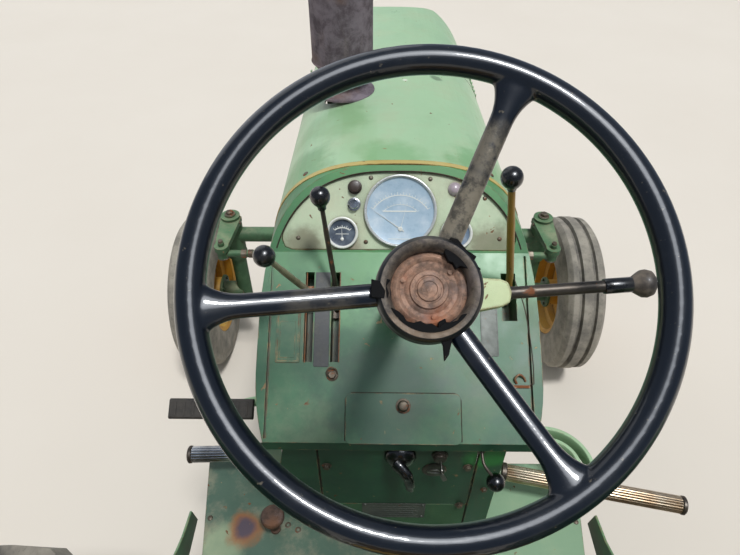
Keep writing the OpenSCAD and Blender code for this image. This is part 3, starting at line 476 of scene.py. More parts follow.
def metal(name, base, worn, rough=0.35, pits=0.15, rust=0.3, metallic=1.0, dirt_and_shade=0.4):
    """Bare or plated metal with rust coming through, soiled and darkened in its corners as dirt and painted
    shade.
    """
    g = Graph(name)
    mid, small = g.noise(22, 6, 0.65), g.noise(140, 4, 0.6)
    colour = g.mix(g.step(mid, 0.3, 0.7), base, worn)
    # Soil colour in corners: dirt, and painted shade where ambient light is shut out.
    corner_dirt_and_shade = g.mul(g.step(g.hollows(0.03), 0.2, 0.8), dirt_and_shade)
    colour = g.mix(corner_dirt_and_shade, colour, SOIL_AND_SHADE)
    patch = g.step(g.noise(30, 7, 0.72, warp=0.5), 0.72 - 0.3 * rust, 0.8 - 0.3 * rust)
    speck = g.step(small, 0.7 - 0.1 * rust, 0.78 - 0.1 * rust)
    rusty = g.most(patch, g.mul(speck, 0.8))
    colour = g.mix(rusty, colour, g.mix(small, RUST, tint(140, 84, 46)))
    bare = g.mul(g.sub(1.0, g.most(rusty, corner_dirt_and_shade)), metallic)
    shine = g.add(g.add(rough, g.mul(g.sub(mid, 0.5), 0.25)), g.mul(rusty, 0.4), clamp=True)
    height = g.sub(g.mul(small, 0.4), g.mul(rusty, 0.3))
    return g.done(colour, shine, g.bump(height, pits, 0.001), bare)


def rusted(name, base, orange, dark, rough=0.75, pits=0.35, fine=1.0):
    """Heat-rusted sheet steel, purple-grey with brown blooms and flaked pits."""
    g = Graph(name)
    big, mid = g.noise(6 * fine, 6, 0.6), g.noise(28 * fine, 7, 0.7, warp=0.3)
    small = g.noise(170 * fine, 4, 0.65)
    colour = g.mix(g.step(mid, 0.35, 0.65), base, dark)
    colour = g.mix(g.mul(g.step(big, 0.5, 0.72), 0.75), colour, orange)
    run = g.step(g.noise(30, 5, 0.7, g.stretch(1, 1, 0.15)), 0.5, 0.75)
    colour = g.mix(g.mul(run, 0.45), colour, tint(134, 122, 120))
    colour = g.mix(g.step(small, 0.62, 0.75), colour, dark)
    flakes = g.cells(90)
    height = g.add(g.mul(small, 0.5), g.mul(flakes, 0.5))
    return g.done(colour, g.step(mid, 0.2, 0.8, rough - 0.12, rough + 0.12), g.bump(height, pits, 0.0015),
                  0.15)


def plastic(name, base, grey, rough=0.2, worn=0.4, spots=(), coat=0.4, pits=0.05, gloss=0.5, tone=None,
            coat_rough=0.12):
    """Black plastic polished by hands, greyed where it is rubbed.
    Each spot, (x, y, z, radius, strength), is a place worn through to the tone below."""
    g = Graph(name)
    mid, small = g.noise(17, 6, 0.65), g.noise(120, 4, 0.6)
    rub = g.mul(g.step(mid, 0.5, 0.78), worn)
    spent = 0.0
    for x, y, z, r, strength in spots:
        near = g.step(g.length(g.shift(x, y, z)), r, r * 0.5)
        spent = g.most(spent, g.mul(g.mul(near, strength), g.step(g.noise(38, 5, 0.7), 0.3, 0.5)))
    scratch = g.step(g.noise(60, 3, 0.5, g.stretch(1, 8, 1)), 0.66, 0.72)
    rub = g.most(rub, g.mul(scratch, 0.25 * worn))
    tone = tone or grey
    patchy = g.mix(g.step(g.noise(52, 5, 0.7), 0.44, 0.62), tone, tuple(c * 0.3 for c in tone[:3]) + (1,))
    colour = g.mix(spent, g.mix(rub, base, grey), patchy)
    rub = g.most(rub, spent)
    colour = g.mix(g.mul(g.step(small, 0.66, 0.74), 0.25), colour, DUST)
    shine = g.add(rough, g.add(g.mul(rub, 0.4), g.mul(mid, 0.12)), clamp=True)
    return g.done(colour, shine, g.bump(g.add(small, g.mul(scratch, -0.6)), pits, 0.0005),
                  Coat_Weight=coat, Coat_Roughness=coat_rough, Specular_IOR_Level=gloss)


def rubber(name, base, dusty, rough=0.8, dust=0.5, scale=1.0):
    """Old rubber, dusty on what stands out and darker in its hollows, partly as painted shade."""
    g = Graph(name)
    mid, small = g.noise(11 * scale, 7, 0.65), g.noise(95 * scale, 4, 0.6)
    # Dust on open faces, while hollows keep the dark base: partly dust, partly painted shade.
    tops = g.sub(1.0, g.hollows(0.05))
    dirt_and_shade = g.add(g.mul(g.step(mid, 0.3, 0.7), dust), g.mul(g.step(tops, 0.5, 1.0), dust * 0.4), clamp=True)
    colour = g.mix(dirt_and_shade, base, dusty)
    colour = g.mix(g.mul(g.step(small, 0.58, 0.75), 0.5), colour, tuple(c * 0.5 for c in base[:3]) + (1,))
    height = g.add(g.mul(small, 0.6), g.mul(g.cells(140 * scale), 0.3))
    return g.done(colour, rough, g.bump(height, 0.3, 0.0015))


def simple_glass(name, base):
    g = Graph(name)
    film = g.noise(16, 5, 0.7)
    rough = g.step(film, 0.4, 0.8, 0.02, 0.3)
    return g.done(base, rough, g.bump(g.cells(70), 0.2, 0.001), Transmission_Weight=0.9, IOR=1.45)


def dial_face(name, base, rim_tone, haze):
    """Printed card or enamel behind clear glass."""
    g = Graph(name)
    mid = g.noise(34, 5, 0.65)
    colour = g.mix(g.mul(g.step(mid, 0.4, 0.75), haze), base, rim_tone)
    return g.done(colour, g.step(mid, 0.3, 0.8, 0.25, 0.5), g.bump(mid, 0.04, 0.0005), Coat_Weight=0.7,
                  Coat_Roughness=0.05)


def vinyl(name, base, worn):
    """Grained seat cover, soiled and darkened along its seams as dirt and painted shade, and cracked with
    age.
    """
    g = Graph(name)
    big, mid = g.noise(5, 5, 0.6), g.noise(30, 6, 0.65)
    colour = g.mix(g.step(big, 0.35, 0.7), base, worn)
    # Darker brown in hollows and seams: dirt, and painted shade.
    colour = g.mix(g.mul(g.step(g.hollows(0.02), 0.25, 0.8), 0.7), colour, tint(96, 70, 34))
    rub = g.mul(g.edges(0.006, 0.002, 0.03), g.step(mid, 0.4, 0.6))
    colour = g.mix(g.mul(rub, 0.5), colour, tint(112, 84, 50))
    crack = g.step(g.cells(46, "DISTANCE_TO_EDGE"), 0.0, 0.03, 1.0, 0.0)
    colour = g.mix(g.mul(g.mul(crack, g.step(big, 0.52, 0.7)), 0.6), colour, tint(84, 64, 40))
    height = g.sub(g.mul(g.cells(330), 0.5), g.mul(crack, 0.5))
    return g.done(colour, g.step(mid, 0.3, 0.7, 0.38, 0.58), g.bump(height, 0.25, 0.0008))


FLAKE, GRIME, MUD = tint(226, 228, 214), tint(104, 92, 68), tint(126, 106, 94)
GREEN = paint("green_paint", tint(62, 104, 72), tint(108, 148, 108), fade_and_sunlight=0.45, wear=0.6, dirt_and_shade=0.75,
              dust=0.22)
# Hood paint: a paler copy of the green, partly sun-bleached and partly painted sunlight. Its spots are darker
# green patches near the dash, white paint flakes and a dull grey-green patch.
HOOD_GREEN = paint("hood_paint", tint(122, 166, 120), tint(164, 198, 158), fade_and_sunlight=0.75, wear=0.45, dirt_and_shade=0.45,
                   dust=0.2, rough=0.34, bare=tint(150, 132, 88), spots=(
                       (-0.22, 0.42, 1.58, 0.13, tint(84, 140, 82), 0.6),
                       (0.2, 0.42, 1.6, 0.14, tint(88, 148, 84), 0.55),
                       (-0.02, 0.4, 1.66, 0.1, tint(104, 160, 98), 0.5),
                       (-0.16, 0.62, 1.62, 0.12, tint(104, 156, 98), 0.4),
                       (0.03, 0.86, 1.64, 0.012, FLAKE, 0.9), (-0.04, 0.88, 1.64, 0.012, FLAKE, 0.9),
                       (-0.1, 0.74, 1.64, 0.009, FLAKE, 0.8),
                       (0.12, 0.9, 1.63, 0.02, tint(92, 110, 84), 0.7)))
# Console and riser paint: a darker copy of the green, darkened as painted shade. Its spots are painted
# sunlight on the riser's right plate, on the dash face and on the console's upper corners, and a painted
# shadow across the console's middle.
CONSOLE_GREEN = paint("console_paint", tint(22, 66, 44), tint(58, 104, 72), fade_and_sunlight=0.4, wear=0.65, dirt_and_shade=0.8,
                      dust=0.12, spots=(
                          (0.19, -0.055, 1.22, 0.06, tint(46, 140, 56), 0.7),
                          (0, 0.34, 1.62, 0.36, tint(92, 150, 94), 0.75),
                          (-0.24, 0.3, 1.5, 0.2, tint(70, 116, 80), 0.55),
                          (0.26, 0.25, 1.45, 0.14, tint(84, 138, 88), 0.6),
                          (-0.02, 0.0, 1.35, 0.16, tint(16, 46, 38), 0.5)))
# Deck paint: a darker copy of the green, darkened as painted shade. Its first two spots are painted patches
# of sunlight; the last two are a rust ring with a dark middle.
DECK_GREEN = paint("deck_paint", tint(36, 70, 57), tint(78, 104, 88), fade_and_sunlight=0.5, wear=0.7, dirt_and_shade=0.8, dust=0.45,
                   rough=0.55, spots=(
                       (0.36, -0.06, 0.85, 0.3, tint(150, 184, 148), 0.72),
                       (-0.43, -0.08, 0.85, 0.07, tint(166, 184, 148), 0.6),
                       (-0.374, -0.045, 0.85, 0.056, tint(152, 96, 50), 0.9),
                       (-0.374, -0.045, 0.85, 0.036, tint(78, 70, 84), 0.95)))
CAST_GREEN = paint("cast_paint", tint(52, 88, 58), tint(96, 132, 94), fade_and_sunlight=0.35, wear=0.5, dirt_and_shade=0.9,
                   dust=0.35, rough=0.6, pits=0.4, soil_and_shade=tint(58, 50, 40))
YELLOW = paint("yellow_paint", tint(190, 136, 36), tint(208, 168, 84), fade_and_sunlight=0.5, wear=0.75, dirt_and_shade=0.9,
               dust=0.35, rough=0.5, bare=tint(120, 92, 56))
PANEL_GREEN = paint("panel_paint", tint(92, 152, 98), tint(192, 206, 176), fade_and_sunlight=0.6, wear=0.8, dirt_and_shade=1.0,
                    dust=0.35, rough=0.5, pits=0.3, spots=(
                        (-0.2, 0.26, 1.53, 0.05, tint(96, 84, 60), 0.7), (0.19, 0.26, 1.53, 0.06, GRIME, 0.7),
                        (0.03, 0.25, 1.525, 0.03, GRIME, 0.5),
                        (0.13, 0.33, 1.62, 0.035, tint(128, 104, 74), 0.6),
                        (-0.11, 0.255, 1.522, 0.045, MUD, 0.6), (0.1, 0.255, 1.522, 0.05, MUD, 0.6)))
# Throttle clamp paint: a pale copy of the green, partly faded and partly painted sunlight.
CREAM_GREEN = paint("clamp_paint", tint(116, 166, 98), tint(196, 210, 160), fade_and_sunlight=0.75, wear=1.0, dirt_and_shade=1.0,
                    dust=0.2)
LEVER_PAINT = paint("lever_paint", tint(150, 116, 44), tint(128, 108, 78), fade_and_sunlight=0.6, wear=1.0, dirt_and_shade=0.9,
                    dust=0.2, bare=tint(84, 64, 46))
OCHRE = paint("ochre", tint(176, 148, 66), tint(190, 172, 106), fade_and_sunlight=0.4, wear=0.75, dirt_and_shade=0.5, dust=0.15,
              rough=0.5, bare=tint(92, 72, 48))
SEAM_DIRT = paint("seam_dirt", tint(38, 30, 22), tint(58, 44, 30), fade_and_sunlight=0.3, wear=0.1, dirt_and_shade=1.0, dust=0.1,
                  rough=0.85)

HUB_RUST = rusted("hub_rust", tint(170, 134, 112), tint(178, 104, 62), tint(104, 84, 72), 0.7, 0.6, fine=3.2)
HUB_BOWL = rusted("hub_bowl", tint(104, 94, 82), tint(120, 100, 78), tint(58, 52, 48), 0.6, 0.5, fine=3.2)
STACK_RUST = rusted("stack_rust", tint(122, 112, 120), tint(134, 104, 88), tint(82, 72, 78))
CAST_RUST = rusted("cast_rust", tint(92, 70, 58), tint(122, 80, 50), tint(62, 50, 44), 0.8, 0.5)

STEEL = metal("worn_steel", tint(150, 148, 142), tint(112, 110, 104), 0.38, rust=0.35, metallic=0.85)
DARK_STEEL = metal("dark_steel", tint(66, 62, 58), tint(92, 84, 74), 0.42, rust=0.45, metallic=0.7)
# The outer lever's pale steel is worn metal, lighter partly as painted sunlight.
LEVER_STEEL = metal("lever_steel", tint(176, 166, 140), tint(134, 122, 98), 0.4, rust=0.4, metallic=0.4)
CHROME = metal("chrome", tint(206, 208, 210), tint(160, 160, 160), 0.14, rust=0.28, pits=0.1)
# Browned chrome for the right foot rest: tarnish, lighter as painted sunlight.
BROWN_CHROME = metal("brown_chrome", tint(216, 200, 174), tint(176, 148, 116), 0.3, rust=0.4, pits=0.15)
BEZEL = metal("bezel", tint(226, 228, 228), tint(196, 196, 190), 0.3, rust=0.1, metallic=0.5)
RUSTY_STEEL = metal("rusty_steel", tint(120, 92, 70), tint(146, 110, 82), 0.55, rust=0.75, metallic=0.4)
BOLT_STEEL = metal("bolt_steel", tint(112, 104, 90), tint(84, 74, 62), 0.5, rust=0.6, metallic=0.6)
GREY_PLATE = metal("plate_grey", tint(96, 100, 94), tint(72, 76, 70), 0.5, rust=0.35, metallic=0.3)
DARK_PLATE = metal("plate_dark", tint(70, 72, 70), tint(96, 98, 92), 0.5, rust=0.4, metallic=0.4)

BLACK = plastic("black_plastic", tint(4, 11, 22), tint(60, 62, 62), 0.25, 0.16, coat=0.8, gloss=0.3,
                coat_rough=0.06, tone=tint(122, 114, 98), spots=(
                    (0.03, -0.24, 1.972, 0.052, 0.95), (0.056, -0.203, 2.015, 0.034, 0.7),
                    (-0.1, -0.31, 1.92, 0.04, 0.25)))
HUB_BLACK = plastic("hub_plastic", tint(17, 18, 20), tint(92, 88, 80), 0.34, 0.75, coat=0.15, pits=0.12)
CRUST = plastic("hub_crust", tint(12, 12, 13), tint(62, 56, 48), 0.75, 0.6, coat=0, pits=0.6, gloss=0.15)
WORN_GRIP = plastic("worn_grip", tint(44, 40, 37), tint(122, 110, 96), 0.4, 1.0, coat=0.1, pits=0.3)
KNOB_BLACK = plastic("knob_plastic", tint(12, 12, 13), tint(70, 66, 60), 0.2, 0.4, coat=0.4)
BROWN_KNOB = plastic("brown_knob", tint(52, 38, 30), tint(88, 74, 62), 0.4, 0.5, coat=0.2)
STRIP = plastic("strip", tint(52, 54, 54), tint(112, 112, 104), 0.45, 0.9, coat=0.1, pits=0.4)
RUBBER = rubber("black_rubber", tint(24, 24, 25), tint(84, 78, 70), 0.75, 0.35, 1.6)
TYRE = rubber("tyre_rubber", tint(84, 82, 78), tint(156, 150, 138), 0.86, 0.8)
PIPING = rubber("piping", tint(34, 32, 30), tint(92, 86, 74), 0.5, 0.3, 1.4)
VINYL = vinyl("seat_vinyl", tint(196, 150, 44), tint(214, 178, 88))

GLASS = simple_glass("lamp_glass", tint(236, 240, 240))
TAIL_RED = dial_face("tail_lens", tint(120, 16, 14), tint(150, 60, 50), 0.5)
BIG_DIAL = dial_face("big_dial", tint(160, 184, 202), tint(204, 216, 224), 0.7)
BLACK_DIAL = dial_face("black_dial", tint(52, 62, 76), tint(112, 124, 136), 0.7)
BLUE_DIAL = dial_face("blue_dial", tint(96, 116, 138), tint(150, 160, 168), 0.6)
LILAC = dial_face("lilac", tint(178, 164, 172), tint(140, 132, 132), 0.5)
WHITE = dial_face("dial_marks", tint(226, 228, 222), tint(190, 190, 180), 0.5)

# The solids that stay, each with how much its edges are rounded, in millimetres
FINISH = (
    (CAST_GREEN, {"transmission_case": 4, "axle_housings": 3, "engine_block": 5, "cylinder_head": 3,
                  "side_frame": 3, "front_support": 4, "front_axle": 3, "radiator": 3, "seat_pedestal": 2,
                  "drawbar": 3, "steering_arm": 2, "tie_rod_left": 1, "tie_rod_right": 1, "knuckle_left": 3,
                  "knuckle_right": 3, "lower_links": 2, "lift_arms": 3}),
    (GREEN, {"fuel_tank": 6, "grille": 0, "steering_column": 1, "fender_left": 1.5, "fender_right": 1.5,
             "battery_boxes": 3}),
    (CONSOLE_GREEN, {"riser": 2, "cowl": 2.5}), (HOOD_GREEN, {"hood": 0}),
    (PANEL_GREEN, {"instrument_panel": 1}), (DECK_GREEN, {"platform": 1}),
    (CAST_RUST, {"exhaust_manifold": 2}), (STACK_RUST, {"muffler": 1.5}),
    (DARK_STEEL, {"engine_accessories": 3, "drop_links": 2}), (STEEL, {"pto_shaft": 1}),
    (YELLOW, {"front_rim_left": 1, "front_rim_right": 1, "rear_rim_left": 1.5, "rear_rim_right": 1.5,
              "fan": 1}),
    (TYRE, {"front_tyre_left": 0, "front_tyre_right": 0, "rear_tyre_left": 0, "rear_tyre_right": 0}),
)
for material, widths in FINISH:
    for node, width in widths.items():
        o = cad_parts[node]
        o.data.materials.clear()
        o.data.materials.append(material)
        if width:
            modify(o, "weld", "WELD", merge_threshold=1e-5)
            if node != "cowl":
                modify(o, "flat", "DECIMATE", decimate_type="DISSOLVE", angle_limit=math.radians(0.5))
            soften(o, width, 32, harden=False)
            modify(o, "normals", "WEIGHTED_NORMAL", keep_sharp=True)

# Steering wheel: the rim and its flared spokes are one skin, around a worn hub
RIM_R, RIM_T = 215, 14
skin = Shape().torus(RIM_R, RIM_T, n=128, k=24)
spoke = smooth_path([(36, 0, -30), (90, 0, -22.5), (150, 0, -12), (185, 0, -5), (203, 0, -1.5),
                     (214, 0, 0)], 5)
flare = [max(0.0, (p.x - 168) / 46) for p in spoke]
for angle in (67, 186, 305):
    skin.tube(spoke, [(11.5 + 22 * t ** 2.4, 7.8 + 3.4 * t ** 1.5) for t in flare], turned(angle), 20)
skin.lathe([(0, -64), (30, -64), (43, -56), (48, -46), (48.5, -36), (44, -32), (0, -32)], n=64)
skin.bm.transform(WHEEL)
finish_piece(remeshed(skin, 1.7, smooth=9), "wheel_rim", BLACK, body="steering_wheel",
             replaces=("steering_wheel",))
hub_ring = Shape().lathe([(36.5, -27), (37.5, -19), (40, -14.2), (43, -12.6), (46, -12.6), (49, -15),
                          (50.2, -20), (50.4, -24), (49.6, -25), (50.4, -26), (51, -31), (50.2, -32),
                          (51, -33), (51, -40), (50.2, -41), (50.4, -42), (49.5, -50), (44, -52),
                          (40, -44)], WHEEL, 72, ring=True)
hub_ring.piece("hub_ring", HUB_BLACK, body="steering_wheel", bevel=0.5)
hub_bowl = Shape().lathe([(34, -31), (36.2, -27), (37.1, -19), (39.7, -13.9), (42.6, -12.3), (45.8, -12.2),
                          (45, -13.5), (40.5, -15), (38, -19.5), (37, -28), (36, -31)], WHEEL, 72,
                         ring=True)
hub_bowl.piece("hub_bowl", HUB_BOWL, body="steering_wheel")

shards = Shape()
shards.prism([(13, 34), (17, 25), (21, 24), (24, 18), (28, 21), (38, 17), (47, 18), (40, 25), (43, 30),
              (34, 36), (26, 46), (19, 48)], -24, -14.5, WHEEL)
shards.prism([(8, -30), (14, -27), (16, -34), (21, -43), (17, -60), (13, -66), (12, -52), (7, -42)], -26,
             -18, WHEEL)
bite = (37, 40, 38, 41, 40, 36, 35, 37, 35, 31, 33, 32, 37, 33, 36, 38, 37, 43)
arc = circle(1, len(bite), 168, 9.5)
inner = [(r * x, r * y) for r, (x, y) in zip(bite, arc)]
shards.prism([(46 * x, 46 * y) for x, y in arc] + inner[::-1], -24, -13.4, WHEEL)
shards.prism([(-54, -9), (-42, -10), (-41, -3), (-46, 6), (-54, 8)], -24, -11.5, WHEEL)
shards.piece("hub_cover_shards", CRUST, body="steering_wheel", bevel=0.8)

disc = Shape()
disc.lathe([(0, -34), (35.5, -34), (36.4, -27.5), (33.5, -24.5), (31, -23.6), (29, -24.8), (27, -27),
            (23, -27.6), (21, -26.2), (18.5, -25.4), (17.8, -22.8), (13.6, -22), (13, -23.2),
            (11.6, -23.2), (11, -21), (7.8, -20.2), (7.2, -21.4), (3.6, -21.2), (2.6, -20.4), (0, -20.4)],
           WHEEL, 64)
for x, y in circle(26, 3, 40):
    disc.lathe([(0, -28), (2.6, -28), (2.6, -24.8), (0, -24.2)], WHEEL @ at(x, y), 14)
disc.piece("hub_disc", HUB_RUST, body="steering_wheel", bevel=0.3)
wheel_shaft = Shape().lathe([(0, -110), (10.6, -110), (11, -109), (11, -68), (17, -66), (17, -60),
                             (0, -60)], WHEEL, 32)
wheel_shaft.piece("wheel_shaft", STEEL, body="steering_wheel", bevel=0.4)

# Hand throttle: a clamp on the column, with a rod, a sleeve and a grip
THROTTLE = WHEEL @ at(0, 0, -128, 4.5)
ROD = THROTTLE @ at(0, 0, 13) @ FACE_RIGHT
arm = Shape().lathe([(30.2, 1), (30.2, 25), (36, 26), (39, 24), (39, 2), (36, 0)], THROTTLE, 48, ring=True)
arm.prism([(34, -19), (62, -18), (86, -15), (94, -11), (97, 0), (94, 11), (86, 15), (62, 18), (34, 19)], 1,
          25, THROTTLE)
arm.piece("throttle_arm", CREAM_GREEN, bevel=2.2, replaces=("hand_throttle",))
rod = Shape().bent([(90, 0, 13), (110, 0, 13.6), (170, 0, 13.2), (224, 0, 13)], [7.6] * 4 + [6.8] * 15,
                   THROTTLE, 18)
for x in (48, 61):
    rod.dome(THROTTLE @ at(x, 0, 25), 5, 2.4)
rod.piece("throttle_rod", DARK_STEEL, bevel=0.4)
throttle_sleeve = Shape().lathe([(6, 200), (8, 200), (8.6, 201), (8.6, 231), (8, 232), (6, 232)], ROD, 28,
                                ring=True)
throttle_sleeve.piece("throttle_sleeve", KNOB_BLACK, bevel=0.2)
throttle_grip = Shape().lathe([(0, 228), (8, 228), (8.8, 231), (12, 236), (15, 241), (15.6, 246),
                               (13.8, 251.6), (9, 255.2), (0, 256)], ROD, 32)
throttle_grip.piece("throttle_grip", WORN_GRIP)

# Control levers: each a bent bar through its slot, with a ball knob
LEVERS = [  # name, slot x, place up the slot at the face and at the foot, knob, radius, metal
    ("outer", -186, 300, 290, (-237, 52, 1670), 6.4, LEVER_STEEL),
    ("inner", -131, 310, 268, (-153, 199, 1692), 5.4, DARK_STEEL),
    ("right", 229, 325, 300, (175, 129, 1778), 7.6, LEVER_PAINT),
]
for name, x, face, foot, knob, r, look in LEVERS:
    knob = Vector(knob)
    low, bend = CONSOLE @ Vector((x, foot, -52)), CONSOLE @ Vector((x, face, 12))
    path = [low, low.lerp(bend, 0.6), *(bend.lerp(knob, t) for t in (0.06, 0.3, 0.7)), knob]
    shaft = Shape().bent(path, [r * 1.15] * 8 + [r] * 12 + [r * 0.86] * 6, n=16, steps=5)
    shaft.box((x - 8, foot - 14, -60), (x + 8, foot + 14, -44), CONSOLE)
    shaft.piece(f"lever_{name}", look, bevel=0.5, replaces=("control_levers",))
    handle = Shape().lathe([(0, -27), (7.4, -27), (8.2, -25.5), (8.4, -21), (10.5, -17.6), (14.5, -13.2),
                            (17.6, -7.5), (19, -1), (18.7, 4.5), (16.9, 9.8), (13.4, 14.4), (8.6, 17.6),
                            (3.5, 18.9), (0, 19)], facing(knob, knob - bend), 40)
    handle.piece(f"lever_knob_{name}", KNOB_BLACK, angle=60)


def framed_plate(shape, m, lo, hi, base, rim, wide, r):
    """A plate with a raised border."""
    outer = rounded(*lo, *hi, r)
    inner = rounded(lo[0] + wide, lo[1] + wide, hi[0] - wide, hi[1] - wide, max(0.5, r - wide))
    shape.prism(outer, -0.5, base, m)
    rows = [[(x, y, z) for x, y in line] for line, z in ((outer, 0), (outer, rim), (inner, rim), (inner, 0))]
    return shape.loft(rows, m, ends=False)


# Console: slot strip and guides, blank plates, cover with its bolt, seams, door latch
slot_strip = Shape().prism([(-174, 150), (-172, 148), (-145, 148), (-143, 150), (-143, 345), (-174, 345)],
                           -1, 1.4, CONSOLE)
slot_strip.piece("slot_strip", STRIP, bevel=0.6)
guides = Shape()
for x, up in product((-183.5, -131), (283, 297, 311)):
    guides.box((x - 7.6, up, -26), (x + 7.6, up + 5, -5), CONSOLE)
for x, foot, r in ((-192, 156, 1.3), (-122.5, 158, 1.1)):
    guides.tube([(x, foot, 0.4), (x, 344, 0.4)], r, CONSOLE, 8)
guides.piece("slot_guides", RUSTY_STEEL, bevel=0.3)
label = framed_plate(Shape(), CONSOLE, (-252, 156), (-203, 266), 1.2, 2.2, 3.5, 3)
label.box((-244, 166, 1), (-213, 240, 1.9), CONSOLE)
label.piece("console_label_blank", CONSOLE_GREEN, bevel=0.5)
cover = Shape().prism(rounded(-107, -2, 123, 97, 12), 0, 1.6, CONSOLE)
cover.piece("console_cover", CONSOLE_GREEN, bevel=0.7)
gear_plate = framed_plate(Shape(), CONSOLE, (168, 172), (203, 286), 1.0, 1.5, 2, 2)
gear_plate.piece("gear_plate_blank", GREY_PLATE, bevel=0.3)
screws = Shape()
screws.lathe([(0, 0), (15, 0), (15, 1.6), (11, 2.4), (10.6, 9), (10.2, 15), (8.6, 18.4), (4.5, 19.6),
              (0, 19.2)], CONSOLE @ at(8, 72, 1.4), 24)
screws.bolt(CONSOLE @ at(-135, 132), 8.6, 7)
screws.bent([(-142, 128, 4), (-146, 137, 9), (-139, 146, 10), (-128, 143, 8), (-124, 134, 3)], 1.6,
            CONSOLE, 8)
screws.piece("console_bolts", BOLT_STEEL, bevel=0.4)
seams = Shape()
door = smooth_path([(240, 338, 0.2), (256, 290, 0.2), (264, 247, 0.2), (271, 170, 0.2), (271, 118, 0.2)], 5)
seams.tube(door + [(262, 113.5, 0.2), (203, 113, 0.2)], 1.1, CONSOLE, 8)
for a, b in (((-107.6, 4), (-107.6, 86)), ((-96, 97.6), (112, 97.6)), ((123.6, 4), (123.6, 86))):
    seams.tube([(*a, 0.6), (*b, 0.6)], 0.8, CONSOLE, 6)
for s, _ in SIDES:
    seams.tube([(s * 166.6, 858, 0.3), (s * 166.6, 1240, 0.3)], 1.2, RISER, 6)
seams.piece("console_seams", SEAM_DIRT)
latch = Shape().bent([(236, 118, 2), (232, 127, 7), (240, 135, 9), (250, 130, 4), (254, 122, 1)], 2.2,
                     CONSOLE, 10)
latch.box((226, 109, 0), (262, 114.5, 3), CONSOLE)
latch.piece("door_latch", RUSTY_STEEL, bevel=0.4)

# Hood edge and dash face
HOOD_W, HOOD_ROUND, HOOD_N, DASH_Y, DASH_TOP = 290, 270, 2.7, 368, 1664
HOOD_FALL, HOOD_LONG = 60, 1227


def hood_edge(degrees, inset):
    """A point (x, z) of the dash's rounded outline at an angle, drawn in by an inset."""
    c, s = math.cos(math.radians(degrees)), math.sin(math.radians(degrees))
    return (math.copysign((HOOD_W - inset) * abs(c) ** (2 / HOOD_N), c),
            DASH_TOP - HOOD_ROUND + (HOOD_ROUND - inset) * abs(s) ** (2 / HOOD_N))


def hood_height(x, y):
    """Height of the hood's skin at a place."""
    top = DASH_TOP - HOOD_FALL * (y - DASH_Y) / HOOD_LONG
    return top - HOOD_ROUND + HOOD_ROUND * (1 - (abs(x) / HOOD_W) ** HOOD_N) ** (1 / HOOD_N)


band = []
for i in range(61):
    (x0, z0), (x1, z1) = (hood_edge(168 - 2.4 * i, inset) for inset in (-1.2, 1.5))
    band.append([(x0, DASH_Y - 3, z0), (x1, DASH_Y - 3, z1), (x1, DASH_Y + 12, z1), (x0, DASH_Y + 12, z0)])
Shape().loft(band).piece("hood_edge_band", OCHRE, bevel=0.5)
grime = Shape().tube([(-222, 7, -8.4), (222, 7, -8.4)], [(3.4, 2)] * 2, PANEL, 8)
grime.piece("panel_grime", SEAM_DIRT)
edge = [(x, 247 + (z - 1519.8) / math.tan(math.radians(50)), z)
        for x, z in (hood_edge(180 - 2 * i, 13) for i in range(91)) if z > 1522]
dash_seam = Shape().tube([PANEL.inverted() @ Vector(p) + Vector((0, 0, 0.3)) for p in edge], 1.5, PANEL, 8)
dash_seam.piece("dash_seam", SEAM_DIRT)


def dial(name, x, y, r, face, ring=BEZEL, **look):
    """A gauge with a rolled bezel and a sunk face."""
    m = PANEL @ at(x, y)
    bezel = Shape().lathe([(r - 6.2, -4.6), (r - 6.2, 2.4), (r - 5.2, 5.4), (r - 3, 6.9), (r - 1, 6.2),
                           (r, 3.6), (r, -4.9)], m, 72, ring=True)
    bezel.piece(f"bezel_{name}", ring, "chrome", bevel=0.3, **look)
    dial = Shape().lathe([(0, -4.9), (r - 5.5, -4.9), (r - 5.5, 0.2), (r - 8, -0.4), (0, -0.4)], m, 64)
    dial.piece(f"dial_{name}", face)


def marks(shape, m, radius, half, count, long, wide, band):
    """Ticks on an arc of so many degrees to each side of upright, with a thin band along it."""
    z = -0.2
    for i in range(count):
        k = long if i % 2 == 0 else long * 0.55
        turn = 90 - half + 2 * half * i / (count - 1)
        shape.box((radius, -wide / 2, z - 0.3), (radius + k, wide / 2, z + 0.35), m @ at(0, 0, 0, turn))
    line = circle(radius, 41, 90 - half, half / 20)
    line += [(x * (1 - band / radius), y * (1 - band / radius)) for x, y in reversed(line)]
    shape.prism(line, z - 0.3, z + 0.3, m)


def needle(shape, m, a, b, wide, z=1.2):
    """A tapered needle from its boss to its tip."""
    a, b = Vector((*a, z)), Vector((*b, z))
    side = Vector((-(b - a).y, (b - a).x, 0)).normalized() * wide / 2
    tail = a - (b - a) * 0.12
    shape.prism([(p.x, p.y) for p in (tail + side, b, tail - side)], z, z + 0.7, m)
    shape.lathe([(0, z - 1.5), (wide * 2.2, z - 1.5), (wide * 2.2, z + 0.9), (wide * 1.4, z + 1.8),
                 (0, z + 1.8)], m @ at(a.x, a.y), 16)


